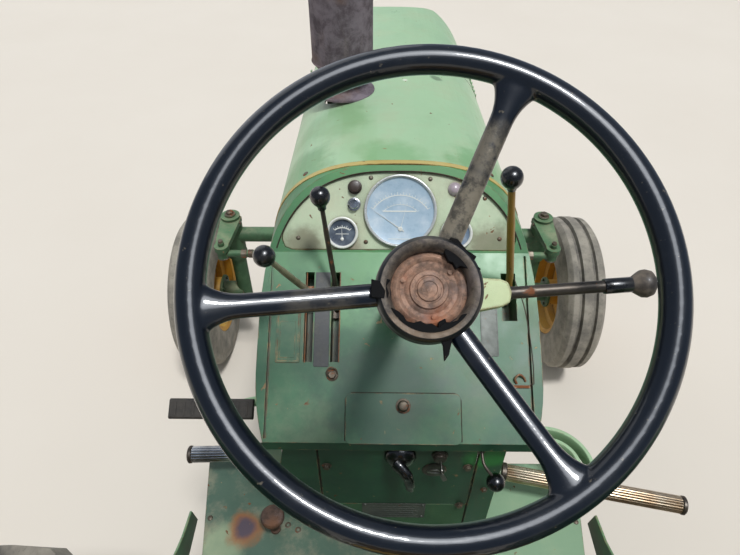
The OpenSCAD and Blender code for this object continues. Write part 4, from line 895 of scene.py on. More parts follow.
SMALL_DIALS = ((-120, 3), (122, -35))  # x, and how far the needle leans, in degrees
dial("big", 3, 88, 77, BIG_DIAL, replaces=("gauges",))
dial("left", -120, 41, 34, BLACK_DIAL, WHITE)
dial("right", 122, 41, 34, BLUE_DIAL, WHITE)
ink = Shape()
low = PANEL @ at(3, 50)
marks(ink, low, 72, 54, 23, 6, 1.0, band=1.6)
marks(ink, low, 52, 45, 13, 4, 0.8, band=0.9)
ink.box((-37, 36, -0.4), (33, 38.6, 0.2), low)
ink.box((-26, -22, -0.4), (26, -20.6, 0.2), low)
needle(ink, low, (0, 0), (-63, 43), 2.2)
needle(ink, low, (1, 2), (17, 66), 1.1, 2.2)
for x, lean in SMALL_DIALS:
    m = PANEL @ at(x, 26)
    marks(ink, m, 27, 38, 9, 4, 1.2, band=2.2)
    needle(ink, m, (0, 2), (-33 * math.sin(math.radians(lean)), 33 * math.cos(math.radians(lean))), 1.6)
    ink.box((-14, 12, -0.4), (14, 13.2, 0.1), m)
ink.piece("dial_marks", WHITE)
brown_knob = Shape().lathe([(0, -5), (15, -5), (15, -3), (12, -2), (11.4, 4), (12, 7), (11.6, 10),
                            (9, 11), (0, 11)], PANEL @ at(-94, 138), 36)
brown_knob.piece("panel_knob_brown", BROWN_KNOB, bevel=0.4)
steel_knob = Shape().lathe([(0, -5), (14, -5), (14, -3.4), (7, -2.6), (6.6, 2), (10.6, 3), (11, 5),
                            (11, 9.4), (9.6, 11), (0, 10.6)], PANEL @ at(-95.5, 102), 36)
steel_knob.piece("panel_knob_steel", CHROME, bevel=0.4)
panel_lamp = Shape().lathe([(0, -5), (14, -5), (14, -1.5), (12, 0), (11, 4), (7.5, 7.6), (0, 9)],
                           PANEL @ at(118, 135), 36)
panel_lamp.piece("panel_lamp", LILAC)
pins = Shape()
for x, y in ((-214, 30), (214, 30), (-180, 118), (182, 116), (-60, 158), (66, 156), (-70, 22), (72, 22)):
    pins.dome(PANEL @ at(x, y, -5), 4.6, 2.6)
pins.piece("panel_screws", BOLT_STEEL)

# Riser: side plates, tilt handle, key switch, rod with a knob, blank plate, bolts
plates = Shape().box((168, 851, -4), (221, 1252, 3), RISER)
plates.prism([(-262, 1008), (-168, 1008), (-168, 1252), (-236, 1252), (-262, 1120)], -4, 3, RISER)
plates.piece("riser_side_plates", CONSOLE_GREEN, bevel=0.8)
handle = Shape().lathe([(0, 0), (31, 0), (33, 3), (33, 8), (27, 15), (20, 22), (0, 24)],
                       RISER @ at(5, 1228), 40)
handle.bent([(-6, 1228, 20), (6, 1224, 30), (18, 1212, 40), (24, 1190, 44), (26, 1160, 42)],
            [(15, 12)] * 5 + [(14, 11)] * 6 + [(12, 8)] * 6 + [(9, 5)] * 4, RISER, 20, 5)
handle.piece("tilt_handle", KNOB_BLACK, bevel=1.2, angle=50)
switch = Shape()
switch.lathe([(0, 0), (17, 0), (17, 3), (14, 4), (13.4, 11), (11, 13), (0, 13)], RISER @ at(87, 1227), 32)
switch.lathe([(0, 0), (26, 0), (26, 1.6), (21, 3), (0, 3)], RISER @ at(80, 1168), 32)
switch.piece("key_switch", DARK_STEEL, "rusty_steel", bevel=0.5)
key = Shape().prism(rounded(-9, -6, 9, 20, 6), -0.9, 0.9, RISER @ place(87, 1229, 24, 90) @ FACE_RIGHT)
key.torus(18, 1.6, RISER @ place(80, 1200, 22, 20), 40, 8)
key.prism(rounded(-5, -22, 5, 0, 3), -0.8, 0.8, RISER @ place(92, 1186, 20, -14, 24))
key.piece("ignition_key", STEEL, bevel=0.2)
pull = Shape().bent([(170, 1252, 0), (172, 1240, 24), (180, 1232, 36), (190, 1222, 44), (196, 1214, 48)],
                    3.2, RISER, 10, 5)
pull.lathe([(0, 0), (9, 0), (9, 3), (5, 4), (0, 4)], RISER @ at(170, 1246), 20)
pull.piece("pull_rod", DARK_STEEL, bevel=0.3)
Shape().ball((197, 1210, 50), 19, RISER, 32).piece("pull_knob", KNOB_BLACK)
plate = framed_plate(Shape(), RISER, (-76, 945), (72, 1013), 1.2, 1.6, 2, 3)
for i in range(5):
    plate.box((-60, 957 + 10 * i, 1), (56 - 9 * (i % 2), 960 + 10 * i, 1.5), RISER)
for x, z in product((-69, 65), (951, 1007)):
    plate.dome(RISER @ at(x, z, 1), 4, 2.4)
plate.piece("riser_plate_blank", DARK_PLATE, bevel=0.3)
bolts = Shape()
for x, z in (*product((-150, 150), (1010, 1180)), *product((-120, 120, -40, 40), (876,))):
    bolts.bolt(RISER @ at(x, z), 7.5, 6, turn=11 * (x + z) % 60)
for x, z in ((196, 880), (196, 1090), (-214, 1040)):
    bolts.bolt(RISER @ at(x, z, 3), 6, 5, turn=17 * z % 60)
bolts.piece("riser_bolts", BOLT_STEEL, bevel=0.4)


# Foot rests: fluted bars with dark ends, on a slit bracket
def fluted(shape, m, length, r, flutes=16):
    """A round bar along Z with shallow flutes."""
    rows = []
    for z, less in ((0, 1.2), (3, 0), (length - 3, 0), (length, 1.2)):
        row = []
        for x, y in circle(1, flutes * 6):
            q = r - 1.5 + 1.5 * abs(math.cos(flutes * math.atan2(y, x) / 2)) ** 0.6 - less
            row.append((q * x, q * y, z))
        rows.append(row)
    return shape.loft(rows, m)


REST_Z, REST_R = 948, 21
ends = Shape()
# The right bar's browned chrome is lighter as painted sunlight.
for side, a, b, look, swapped in (
        ("left", (-346, 109, REST_Z), (-526, 103, REST_Z), CHROME, ("foot_rests",)),
        ("right", (284, 61.8, REST_Z), (702, -20.2, REST_Z), BROWN_CHROME, ())):
    along = Vector(b) - Vector(a)
    m, length = facing(a, along), along.length
    fluted(Shape(), m, length, REST_R).piece(f"foot_rest_{side}", look, replaces=swapped)
    ends.lathe([(0, length - 2), (20, length - 2), (22.4, length), (22.6, length + 6), (19, length + 9.5),
                (0, length + 9)], m, 40)
    ends.lathe([(0, -8), (22, -8), (24, -6), (24, 4), (22, 6), (0, 6)], m, 40)
ends.piece("foot_rest_ends", DARK_STEEL, bevel=0.6)
bracket = Shape()
bracket.prism([(-352, 117), (-292, 117), (-286, 92), (-262, 60), (-236, 22), (-228, 24), (-246, 62),
               (-250, 92), (-244, 117), (-166, 100), (-166, 5), (-290, 13), (-352, 57)], 980, 986)
bracket.box((-352, 88, 940), (-337, 117, 986))
bracket.rod((-166, 65, REST_Z), (-346, 109, REST_Z), 14)
bracket.rod((166, 65, REST_Z), (290, 62, REST_Z), 16)
bracket.box((-340, 100, 914), (-330, 114, 982))
bracket.piece("foot_rest_bracket", GREEN, bevel=1)
# A thin black sheet on the bracket along its slot: painted shade in the opening.
bracket_slit_shade = Shape().prism([(-250, 98), (-240, 60), (-222, 22), (-212, -2), (-222, 0), (-240, 30),
                              (-262, 66)], 986, 987.2)
bracket_slit_shade.piece("bracket_slit_shade", RUBBER)

# Pedals: clutch pad and arm, two curved brake arms, a small foot button
CLUTCH = place(-470, 173, 1052, 33)
side = [(-22, -11), (22, -11), (25, -8), (26, -2), (26, 6), (24.5, 10), (21, 13)]
pad = Shape().prism(side + [(-x, y) for x, y in side[:1:-1]], -108, 108, CLUTCH @ FACE_RIGHT @ turned(90))
for i in range(9):
    pad.box((-96 + 23 * i, -17, 12), (-88 + 23 * i, 17, 14.4), CLUTCH)
pad.piece("clutch_pad", RUBBER, bevel=2, replaces=("pedals",))
arms, treads = Shape(), Shape()
arms.bent([(-440, 177, 1044), (-400, 205, 1028), (-358, 236, 1004), (-330, 251, 990), (-290, 254, 985),
           (-166, 252, 960)], 13.5, n=16, steps=5)
BRAKE_X, BRAKE_Y, BRAKE_Z = 388, 49, 975
section = ((-6, 3), (-6, 39), (-4, 42), (4, 42), (6, 39), (6, 3), (3, 0), (-3, 0))
for radius in (100, 68):
    path = [Vector((BRAKE_X + x, BRAKE_Y + y)) for x, y in circle(radius, 31, step=3)]
    path += [Vector((x, BRAKE_Y + radius)) for x in (340, 290, 250, 206)]
    rows = []
    for i, p in enumerate(path):
        d = (path[min(i + 1, len(path) - 1)] - path[max(i - 1, 0)]).normalized()
        rows.append([(p.x + d.y * k, p.y - d.x * k, BRAKE_Z + z) for k, z in section])
    arms.loft(rows)
    pad_x = BRAKE_X + radius
    arms.prism(rounded(pad_x - 22, BRAKE_Y - 46, pad_x + 22, BRAKE_Y + 2, 5), BRAKE_Z + 8, BRAKE_Z + 22)
    for i in range(5):
        treads.box((pad_x - 19, 6 + 8 * i, 997), (pad_x + 19, 10 + 8 * i, 999.6))
arms.rod((166, 133, 985), (226, 133, 985), 34, n=40)
# The brake arms take the paler hood paint as painted sunlight.
arms.piece("pedal_arms", HOOD_GREEN, bevel=0.8)
treads.piece("brake_treads", GREEN, bevel=0.5)
button = Shape()
button.lathe([(0, 909), (22, 909), (25, 911), (28.6, 914), (29, 918), (29, 924), (26, 928), (14, 929),
              (0, 928.6)], at(-297, -47), 40)
button.torus(14, 1.2, at(-297, -47, 928.4), 32, 8)
button.lathe([(0, 848), (13, 848), (13, 856), (9, 860), (9, 912), (0, 912)], at(-297, -47), 20)
button.piece("foot_button", CAST_RUST, bevel=0.4)
deck = Shape()
for x, y in ((-267, -36), (-240, -48)):
    deck.lathe([(3.5, 848), (3.5, 850.4), (6.5, 850.8), (8, 850.2), (8, 848)], at(x, y), 20, ring=True)
    deck.lathe([(0, 846), (3.6, 846), (3.6, 848.5), (0, 848.5)], at(x, y), 16)
deck.bolts(product((-190, 190), (-560, -420, -280, -140, 20, 110), (DECK_Z,)), 7, 5.5,
           turn=lambda x, y, z: (x + y) % 60)
for (s, _), (x, y) in product(SIDES, ((452, -560), (452, -380), (452, -200), (470, -20))):
    deck.dome(at(s * x, y, DECK_Z), 7, 3)
deck.piece("deck_bolts", BOLT_STEEL, bevel=0.4)

# Lamps on the fenders
LAMP_Y, LAMP_Z = -455, 1502
shells, bezels, lenses, reflectors, tails = Shape(), Shape(), Shape(), Shape(), Shape()
for x in (-840, -700, 700, 840):
    m = at(x, LAMP_Y, LAMP_Z) @ FACE_FRONT
    shells.lathe([(0, 0), (28, 0), (34, 3), (46, 15), (53, 33), (50, 34), (43, 18), (31, 7), (0, 4)], m, 48)
    bezels.lathe([(46.5, 33), (52.6, 31.4), (54, 34), (54, 39), (51, 42), (48, 41.6), (46.8, 38)], m, 56,
                 ring=True)
    lenses.lathe([(0, 34), (46.8, 34), (47.2, 37.4), (30, 40.4), (0, 41.4)], m, 48)
    reflectors.lathe([(0, 8), (20, 10), (36, 18), (46, 32), (45, 33), (34, 20), (19, 12), (6, 10), (5, 20),
                      (0, 21)], m, 40)
    shells.bolt(at(x, LAMP_Y, LAMP_Z - 56, 10) @ at(0, 24), 8, 6, washer=False)
    shells.rod((x, LAMP_Y + 24, LAMP_Z - 72), (x, LAMP_Y + 24, LAMP_Z - 40), 7)
for s, _ in SIDES:
    tails.lathe([(0, 0), (30, 0), (31, 4), (29, 9), (18, 12), (0, 13)],
                at(s * 870, -1495, 1470) @ FACE_REAR, 36)
shells.piece("lamp_shells", BLACK, replaces=("lamps",), angle=50)
bezels.piece("lamp_bezels", CHROME, angle=50)
reflectors.piece("lamp_reflectors", CHROME, angle=50)
lenses.piece("lamp_lenses", GLASS, angle=50)
tails.piece("tail_lamps", TAIL_RED)


# Seat: each cushion is a closed pad, blown up as cloth between its sewn channels
def pad_mesh(half_w, half_d, height, crown, channels, margin):
    """A pad's even mesh with a crowned top, sides drawn in between the corners, and sunk channels.
    The second value lists the points that are sewn down."""
    mesh = remeshed(Shape().prism(rounded(-half_w, -half_d, half_w, half_d, 46, 8), 0, height), 6)
    pins = []
    for v in mesh.vertices:
        u, t, k = v.co.x / (half_w / 1000), v.co.y / (half_d / 1000), v.co.z / (height / 1000)
        v.co.z += crown / 1000 * max(0.0, 1 - u * u) * max(0.0, 1 - t * t) * (1 if k > 0.5 else 0)
        if k > 0.12:
            v.co.x *= 1 - 0.018 * (1 - t * t) * math.sin(math.pi * min(1, k))
            v.co.y *= 1 - 0.022 * (1 - u * u) * math.sin(math.pi * min(1, k))
        hold = k < 0.08
        if k > 0.9 and abs(t) < 1 - margin:
            for c in channels:
                gap = abs(v.co.x * 1000 - c)
                if gap < 7:
                    v.co.z -= 0.007 * (1 - gap / 7)
                    hold = hold or gap < 3.2
        if k > 0.9 and abs(abs(t) - (1 - margin)) < 0.03 and abs(u) < 0.98:
            v.co.z -= 0.006
            hold = True
        if hold:
            pins.append(v.index)
    return mesh, pins


def inflate(mesh, pins, cap):
    """The mesh after a short cloth run with air in it; no point moves farther than the cap."""
    work = bpy.data.objects.new("pad_cloth", mesh)
    scene.collection.objects.link(work)
    rest = [v.co.copy() for v in mesh.vertices]
    work.vertex_groups.new(name="held").add(pins, 1.0, "REPLACE")
    cloth = work.modifiers.new("cloth", "CLOTH")
    tune(cloth.settings, quality=5, mass=0.2, use_pressure=True, uniform_pressure_force=4,
         tension_stiffness=12, compression_stiffness=12, shear_stiffness=6, bending_stiffness=0.4,
         vertex_group_mass="held")
    cloth.settings.effector_weights.gravity = 0
    for frame_number in range(1, 21):
        scene.frame_set(frame_number)
    blown = baked(work)
    for v, start in zip(blown.vertices, rest):
        move = v.co - start
        if move.length > cap:
            v.co = start + move * (cap / move.length)
    scene.frame_set(1)
    return blown


def cushion(name, node, m, half_w, half_d, height, crown, channels, margin):
    """A padded cushion with piping round its edges, in place of a node."""
    mesh, pins = pad_mesh(half_w, half_d, height, crown, channels, margin)
    mesh = inflate(mesh, pins, 0.016)
    metric = m.copy()
    metric.translation = m.translation / 1000
    mesh.transform(metric)
    o = finish_piece(mesh, name, VINYL, angle=80, replaces=(node,))
    modify(o, "round", "SUBSURF", levels=1, render_levels=1)
    piping = Shape()
    for z in (4, height - 3):
        loop = [(x, y, z) for x, y in rounded(-half_w - 2, -half_d - 2, half_w + 2, half_d + 2, 48, 8)]
        piping.tube(loop, 3.6, m, 8, closed=True)
    piping.piece(name + "_piping", PIPING)


cushion("seat_cushion_pad", "seat_cushion", at(0, -917, 1259), 211, 183, 76, 12, (-127, -42, 42, 127), 0.16)
cushion("seat_back_pad", "seat_back", place(0, -1120.5, 1515, -90), 201, 137, 52, 10, (-121, -40, 40, 121),
        0.14)
springs, arm_pads = Shape(), Shape()
springs.bolts(product((-130, 130), (-1020, -830), (1090,)), 10, 8)
for s, _ in SIDES:
    for z in (1200, *range(1150, 1221, 14)):
        springs.torus(30, 6, at(s * 175, -935, z), 32, 10)
    springs.rod((s * 175, -935, 1088), (s * 175, -935, 1240), 9)
    arm_pads.bent([(s * 234, -1080, 1478), (s * 234, -1000, 1481), (s * 234, -890, 1480)], [(15, 7)] * 13,
                  n=16)
springs.piece("seat_springs", DARK_STEEL, bevel=0.3)
arm_pads.piece("arm_rest_pads", PIPING, "black_rubber", bevel=1)

# Exhaust: clamp, welds, flap
STACK = at(-138, 790)
FLAP = STACK @ place(0, -2, 2366, 38)
stack = Shape()
stack.lathe([(36, 1664), (44, 1664), (46, 1668), (46, 1684), (44, 1688), (36, 1688)], STACK, 40, ring=True)
for z in (1724, 2146):
    stack.torus(78.6, 2.6, STACK @ at(0, 0, z), 72, 8)
stack.torus(36, 3.4, STACK @ at(0, 0, 2178), 40, 8)
stack.rod((0, 44, 1676), (34, 60, 1676), 6, STACK)
stack.bolt(STACK @ place(34, 60, 1676, -64, -115), 8, 6)
stack.lathe([(36.4, 1660), (82, 1641), (84, 1642), (83, 1646), (37, 1664)], STACK, 64, ring=True)
stack.rod((0, -38, 2180), (0, -38, 2190), 5, STACK)
stack.piece("exhaust_trim", STACK_RUST, bevel=0.4)
flap = Shape().lathe([(0, 0), (35, 0), (36, 1.5), (30, 4), (0, 7)], FLAP @ at(0, 4), 40)
flap.box((-8, -44, -2), (8, -30, 8), FLAP)
flap.piece("rain_flap", STACK_RUST, bevel=0.4)

# Hood: louvres, clips, bolts, seam
louvres, clips = Shape(), Shape()
for i in range(7):
    louvres.prism([(0, 0), (5.5, 2), (6, 6), (0, 16)], -52, 52, at(289.5, 1180 + 34 * i, 1405))
louvres.mirror_x().piece("hood_louvres", HOOD_GREEN, bevel=0.8)
for y in (470, 1120):
    clips.box((288, y - 14, 1345), (293, y + 14, 1392))
    clips.bent([(295, y - 8, 1336), (299, y - 8, 1360), (296, y, 1388), (299, y + 8, 1360),
                (295, y + 8, 1336)], 2.4, n=10, steps=5)
    clips.bolt(at(293, y, 1384) @ FACE_RIGHT, 6, 4, washer=False)
clips.mirror_x().piece("hood_clips", STEEL, bevel=0.5)
hood_bolts = Shape()
for x, y in ((205, 400), (-205, 400), *product((60, -60, 200, -200), (1040,))):
    slope = math.degrees(math.atan2(hood_height(x - 5, y) - hood_height(x + 5, y), 10))
    hood_bolts.dome(at(x, y, hood_height(x, y) - 0.4) @ turned(slope, "Y"), 7, 3)
hood_bolts.piece("hood_bolts", BOLT_STEEL)
hood_seam = Shape().tube([(x, 1046, hood_height(x, 1046) + 0.2) for x in range(-284, 285, 8)], 1.1, n=6)
hood_seam.piece("hood_seam", SEAM_DIRT)


# Bolts turn by their places, so that no two neighbours stand alike
def by_y(x, y, z):
    return y % 60


def by_z(x, y, z):
    return z % 60


# Engine: bolts, fuel pipes, filters, pulleys, belt, lower hose
engine = Shape()
for y in (484, 694, 904):
    engine.lathe([(0, 0), (15, 0), (15, 8), (11, 12), (0, 13)], at(10, y, 1336), 24)
engine.bolts(product((-128, 128), range(400, 1001, 100), (1260,)), 9, 8, turn=by_y)
for i in range(6):
    engine.bolt(at(102, 430 + 90 * i, 1262), 6, 5, turn=13 * i)
for s, _ in SIDES:
    engine.bolts(product((s * 150,), (400, 560, 720, 880, 1010), (730, 1110)), 9, 8, outward(s), by_y)
    for i in range(8):
        engine.bolt(at(s * (119 + 2 * (i % 2)), 410 + 84 * i, 610) @ outward(s), 7, 6, turn=9 * i)
engine.piece("engine_bolts", BOLT_STEEL, bevel=0.5)
pipes = Shape()
for i in range(4):
    y = 464 + 135 * i
    pipes.bolt(at(140, y, 1205) @ FACE_RIGHT, 11, 14, turn=10 * i)
    pipes.bent([(152, y, 1205), (176, y, 1216), (196, y * 0.75 + 160, 1180), (206, 470 + 14 * i, 1142)],
               3.4, n=10)
pipes.bent([(200, 739, 1118), (214, 700, 1150), (212, 640, 1130), (208, 600, 1096)], 4.5, n=10)
pipes.bent([(205, 829, 1118), (224, 800, 1152), (222, 770, 1140), (204, 750, 1118)], 4.5, n=10)
pipes.piece("fuel_pipes", STEEL)
bowls = Shape()
for y in (739, 829):
    bowls.lathe([(0, 0), (26, 0), (30, 6), (30, 62), (35, 66), (35, 74), (0, 78)], at(206, y, 1018), 32)
bowls.piece("fuel_filters", DARK_STEEL, bevel=0.6)
PULLEY_Y, BELT_Y = 1047, 1056
CRANK, PUMP, GENERATOR = (0, 830), (0, 1255), (-204, 1088)


def pulley(x, z):
    return at(x, PULLEY_Y, z) @ FACE_FRONT


drive = Shape()
drive.lathe([(0, 0), (90, 0), (92, 3), (85, 9), (92, 15), (90, 18), (0, 18)], pulley(*CRANK), 56)
drive.lathe([(44.5, 0), (62, 0), (64, 3), (57, 9), (64, 15), (62, 18), (44.5, 18)], pulley(*PUMP), 48,
            ring=True)
drive.lathe([(0, -44), (12, -44), (12, 0), (36, 0), (38, 3), (32, 9), (38, 15), (36, 18), (0, 22)],
            pulley(*GENERATOR), 40)
drive.piece("pulleys", DARK_STEEL, bevel=0.5)
rounds = ((*CRANK, 88), (*PUMP, 60), (*GENERATOR, 35))
leave = []  # the angle at which the belt leaves each pulley for the next
for (x0, z0, r0), (x1, z1, r1) in zip(rounds, rounds[1:] + rounds[:1]):
    lean = math.asin((r0 - r1) / math.hypot(x1 - x0, z1 - z0))
    leave.append(math.degrees(math.atan2(z1 - z0, x1 - x0) + lean) - 90)
loop = []
for i, (x, z, r) in enumerate(rounds):
    sweep = (leave[i] - leave[i - 1]) % 360
    loop += [(x + dx, BELT_Y, z + dz) for dx, dz in circle(r, 13, leave[i - 1], sweep / 12)]
belt = Shape().tube(loop[12:] + loop[:12], [(5, 4)] * len(loop), n=8, closed=True)
belt.piece("fan_belt", RUBBER)
hose = Shape().bent([(96, 1030, 905), (112, 1070, 905), (150, 1130, 940), (152, 1176, 1010),
                     (150, 1205, 1060)], 19, n=20)
for a, b in (((98, 1040, 905), (104, 1054, 905)), ((151, 1192, 1040), (150, 1200, 1052))):
    hose.rod(a, b, 21.5, n=24)
hose.piece("lower_hose", RUBBER, bevel=0.6)

# Bolts along the rails, the front support, the axle and the steering
rails = Shape()
rails.bolts(product((232,), (420, 470, 940, 990, 1180, 1260, 1430, 1520, 1620, 1700), (905, 985)), 11, 9,
            FACE_RIGHT, lambda x, y, z: (y + z) % 60)
rails.bolts(product((140,), (1290, 1400), (800,)), 12, 10, FACE_RIGHT)
rails.mirror_x()
for x in (-150, -50, 50, 150):
    rails.lathe([(14.5, 0), (20, 0), (20, 4), (17, 6), (14.5, 5)], at(x, 1825, 945) @ FACE_FRONT, 28,
                ring=True)
rails.piece("frame_bolts", BOLT_STEEL, bevel=0.6)
axle = Shape().lathe([(0, 0), (26, 0), (26, 8), (18, 12), (0, 12)], at(0, 1415, 720) @ FACE_FRONT, 32)
for y, face in ((FRONT_Y + 42, FACE_FRONT), (FRONT_Y - 42, FACE_REAR)):
    axle.bolts(product((200, 330), (y,), (742, 698)), 11, 9, face)
axle.lathe([(0, 0), (5, 0), (5, 5), (3, 6), (3, 10), (4, 12), (0, 13)],
           at(KINGPIN_X, 1389, 690) @ FACE_FRONT, 14)
axle.mirror_x().piece("axle_bolts", BOLT_STEEL, bevel=0.6)
TIE_Z = 770.7
for s, side in SIDES:
    kingpin_x = s * KINGPIN_X
    joint = Shape().bolt(at(kingpin_x, FRONT_Y, 832), 16, 12, turn=20)
    joint.lathe([(0, 0), (10, 0), (10, 10), (0, 11)], at(kingpin_x, TIE_Y, 830), 20)
    for z in (618, 780):
        joint.torus(35, 2.2, at(kingpin_x, FRONT_Y, z), 40, 8)
    joint.bolt(at(kingpin_x - s * 40, FRONT_Y - 25, 802) @ outward(-s), 7, 6)
    joint.piece(f"knuckle_bolts_{side}", BOLT_STEEL, body=f"knuckle_{side}", bevel=0.5)
    tie = Shape().torus(22, 4, at(kingpin_x, TIE_Y, TIE_Z - 18), 32, 10)
    for x in (s * 120, s * 590):
        tie.rod((x, TIE_Y, TIE_Z), (x + s * 24, TIE_Y, TIE_Z), 20, n=6)
        tie.rod((x - s * 26, TIE_Y, TIE_Z), (x - s * 6, TIE_Y, TIE_Z), 18, n=24)
    tie.piece(f"tie_rod_nuts_{side}", BOLT_STEEL, body=f"tie_rod_{side}", bevel=0.6)


def add_studs(shape, m, radius, count, start, r):
    """The ends of a wheel's studs, which stand out of their nuts."""
    for x, y in circle(radius, count, start):
        shape.rod(m @ Vector((x, y, 60)), m @ Vector((x, y, 74)), r)


def add_valve(shape, m, x, y, heights, radii):
    shape.tube([m @ Vector((x, y, z)) for z in heights], radii, n=12)


# Wheels: hub caps, nuts with their studs, valves, clamp rings on the rear axle shafts
for s, side in SIDES:
    front = at(s * FRONT_HUB_X, FRONT_Y, FRONT_HUB_Z) @ outward(s)
    rear = at(s * REAR_HUB_X, REAR_Y, REAR_Z) @ outward(s)
    cap = Shape().lathe([(0, 82), (37, 82), (41, 86), (40, 96), (34, 103), (16, 106), (0, 106)], front, 48)
    cap.torus(62, 2.4, front @ at(0, 0, 46), 56, 8)
    cap.piece(f"front_cap_{side}", YELLOW, body=f"front_wheel_{side}", bevel=0.8)
    nuts = Shape().bolt_ring(front, 82, 6, 11, 10, start=90, z=58, step=60, washer=False)
    add_studs(nuts, front, 82, 6, 90, 5)
    add_valve(nuts, front, 158, 20, (12, 26, 44), [4.5, 4, 3.4])
    nuts.piece(f"front_nuts_{side}", BOLT_STEEL, body=f"front_wheel_{side}", bevel=0.5)
    nuts = Shape()
    for radius, z, r, h in ((140, 4, 17, 14), (372, 54, 15, 12)):
        nuts.bolt_ring(rear, radius, 8, r, h, start=22.5, z=z, step=45)
    add_studs(nuts, rear, 372, 8, 22.5, 7)
    add_valve(nuts, rear, 398, 30, (60, 80, 102), [5, 4.4, 3.6])
    nuts.piece(f"rear_nuts_{side}", BOLT_STEEL, body=f"rear_wheel_{side}", bevel=0.6)
    hub = Shape().bolt_ring(rear, 90, 4, 12, 12, start=45, z=60, step=30)
    hub.lathe([(42.2, 74), (56, 74), (58, 78), (56, 84), (42.2, 84)], rear, 48, ring=True)
    hub.lathe([(0, 150), (36, 150), (38, 152), (36, 156), (12, 157), (11, 153), (0, 153)], rear, 40)
    hub.piece(f"rear_hub_{side}", CAST_GREEN, body=f"rear_wheel_{side}", bevel=0.8)

# Rear of the case: cover bolts, hydraulic couplers, splines, guard, pins
PTO = at(0, CASE_BACK, PTO_Z) @ FACE_REAR
GUARD = at(0, CASE_BACK, 742) @ FACE_REAR
LIFT_Y, LIFT_Z, TOP_Y, TOP_Z = -1435, 1000, -1204, 890
case = Shape()
case.bolts(product((-150, 150), (CASE_BACK,), (650, 740, 830, 920, 1010)), 11, 9, FACE_REAR, by_z)
case.bolts(product((-100, 0, 100), (CASE_BACK,), (1040,)), 11, 9, FACE_REAR)
for s, _ in SIDES:
    case.bolt_ring(at(s * 216, REAR_Y, REAR_Z) @ outward(s), 166, 10, 12, 10, step=36)
case.bolt_ring(PTO, 48, 6, 7, 6, start=30, z=27, step=60)
case.bolts(product((-140, 140), (-1080, -1000, -700, -640), (1060,)), 10, 8, turn=by_y)
case.piece("case_bolts", BOLT_STEEL, bevel=0.5)
couplers, splines, guard, pins = Shape(), Shape(), Shape(), Shape()
for x in (-118, -82, 92):
    couplers.lathe([(0, 0), (17, 0), (17, 8), (13, 10), (13, 34), (15, 36), (15, 46), (9, 48), (9, 40),
                    (0, 40)], at(x, CASE_BACK, 962) @ FACE_REAR, 32)
for i in range(6):
    splines.box((16.5, -4.6, 34), (17.4, 4.6, 136.4), PTO @ turned(60 * i))
guard.prism([(-92, 0), (92, 0), (92, -6), (-92, -6)], 0, 128, GUARD)
for s, _ in SIDES:
    guard.prism([(s * 92, 0), (s * 98, 0), (s * 112, -66), (s * 106, -66)], 0, 110, GUARD)
    pins.rod((s * 322, LIFT_Y, LIFT_Z), (s * 350, LIFT_Y, LIFT_Z), 12)
    pins.torus(14, 2.4, place(s * 352, LIFT_Y, LIFT_Z - 14, 90), 28, 8)
couplers.piece("hydraulic_couplers", STEEL, bevel=0.6)
splines.piece("pto_splines", STEEL, bevel=0.2)
guard.piece("pto_guard", GREEN, bevel=1.2)
pins.piece("lift_arm_pins", STEEL, body="lift_arms", bevel=0.6)
top_pin = Shape().rod((-64, TOP_Y, TOP_Z), (64, TOP_Y, TOP_Z), 10.5)
top_pin.bent([(60, TOP_Y, 890), (84, TOP_Y, 884), (88, TOP_Y - 2, 862), (74, TOP_Y - 4, 850)], 4, n=10,
             steps=5)
top_pin.piece("top_link_pin", STEEL, bevel=0.6)

# Fenders: beads, bolts, handles; deck: tread strips
beads, grab, strips = Shape(), Shape(), Shape()
for s, _ in SIDES:
    for x in (620, 842):
        beads.tube([(s * x, -1360 + 30 * i, FENDER_TOP + 2.2) for i in range(26)], 3.2, n=10)
    beads.bolts(product((s * 535,), (-1330, -1180, -1020, -860, -700, -560), (FENDER_TOP,)), 8, 5, turn=by_y)
    inside = ((-935, 1000), (-935, 1060), (-1000, 1000), (-870, 1000), (-640, 960), (-380, 860), (-560, 860))
    beads.bolts([(s * 512, y, z) for y, z in inside], 9, 7, outward(-s), by_z)
    grab.bent([(s * 560, -560, 1660), (s * 560, -560, 1720), (s * 572, -620, 1738), (s * 572, -760, 1738),
               (s * 560, -820, 1720), (s * 560, -820, 1660)], 10, n=16)
    for y in (-560, -820):
        grab.lathe([(0, 0), (20, 0), (20, 4), (12, 7), (0, 7)], at(s * 560, y, FENDER_TOP - 0.5), 28)
    for x in (236, 282, 328, 374, 420):
        near, far = sorted((s * x, s * (x + 14)))
        strips.box((near, -520, DECK_Z), (far, -260, DECK_Z + 2.4))
beads.piece("fender_bolts", GREEN, bevel=0.5)
grab.piece("fender_handles", GREEN, bevel=0.4)
strips.piece("deck_strips", DECK_GREEN, bevel=0.8)

# Studio
camera = bpy.data.cameras.new("camera")
tune(camera, sensor_fit="HORIZONTAL", sensor_width=36, lens=27.05)
cam = bpy.data.objects.new("camera", camera)
scene.collection.objects.link(cam)
cam.location = (-0.051, -0.666, 2.270)
cam.rotation_euler = (math.radians(48), 0, math.radians(0.62))
scene.camera = cam

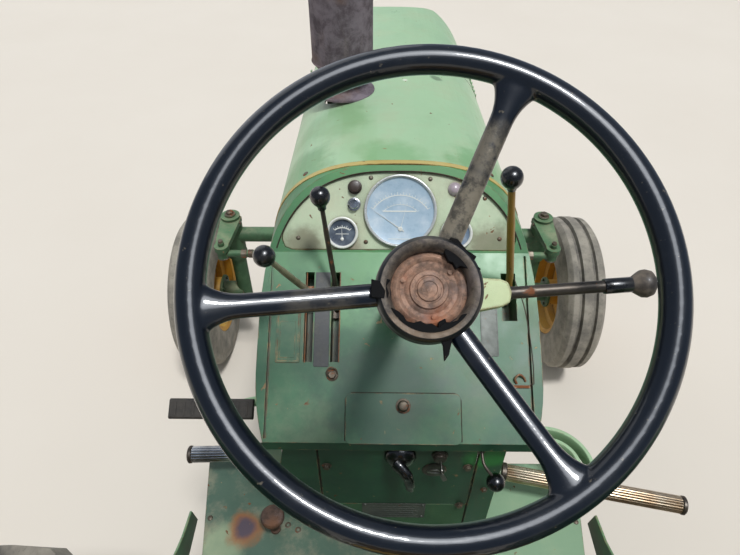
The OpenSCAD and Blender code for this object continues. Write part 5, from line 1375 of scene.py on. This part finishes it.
floor_look = Graph("floor")
floor_look.done(floor_look.mix(floor_look.noise(0.9, 3), tint(214, 206, 194), tint(220, 213, 202)), 0.9)
mesh = bpy.data.meshes.new("floor")
mesh.from_pydata([(-14, -14, 0), (14, -14, 0), (14, 14, 0), (-14, 14, 0)], [], [(0, 1, 2, 3)])
mesh.materials.append(floor_look.material)
floor = bpy.data.objects.new("floor", mesh)
scene.collection.objects.link(floor)


def sun(name, toward, energy, spread):
    """A lamp that shines from that direction."""
    data = tune(bpy.data.lights.new(name, "SUN"), energy=energy, angle=math.radians(spread))
    o = bpy.data.objects.new(name, data)
    o.rotation_euler = Vector(toward).to_track_quat("Z", "Y").to_euler()
    scene.collection.objects.link(o)


KEY_LIGHT = (0.2, -0.3, 0.93)
sun("key", KEY_LIGHT, 2.2, 9)
sun("fill", (-0.45, 0.75, 0.5), 0.5, 60)
world = bpy.data.worlds.new("world")
scene.world = world
world.use_nodes = True

# What the camera sees is a pale backdrop. What glossy surfaces see is a dim sky with a softbox.
BACKDROP, AMBIENT = (1.75, 1.76, 1.78, 1), (0.86, 0.9, 0.95, 1)
DIM_SKY, SOFTBOX = (0.4, 0.48, 0.62, 1), (9, 9.6, 10.5, 1)
sky = Nodes(world.node_tree)
rays = sky.node("ShaderNodeLightPath")
toward_key = sky.node("ShaderNodeVectorMath", operation="DOT_PRODUCT")
sky.feed(toward_key.inputs[0], sky.node("ShaderNodeTexCoord").outputs["Generated"])
sky.feed(toward_key.inputs[1], Vector(KEY_LIGHT).normalized())
box_edge = sky.node("ShaderNodeMapRange")
for i, value in enumerate((toward_key.outputs["Value"], 0.93, 0.96)):
    sky.feed(box_edge.inputs[i], value)
mirrored = sky.mix(rays.outputs["Is Glossy Ray"], AMBIENT, sky.mix(box_edge.outputs[0], DIM_SKY, SOFTBOX))
background = sky.tree.nodes["Background"]
sky.feed(background.inputs[0], sky.mix(rays.outputs["Is Camera Ray"], mirrored, BACKDROP))
background.inputs[1].default_value = 0.5
scene.view_settings.view_transform = "Standard"
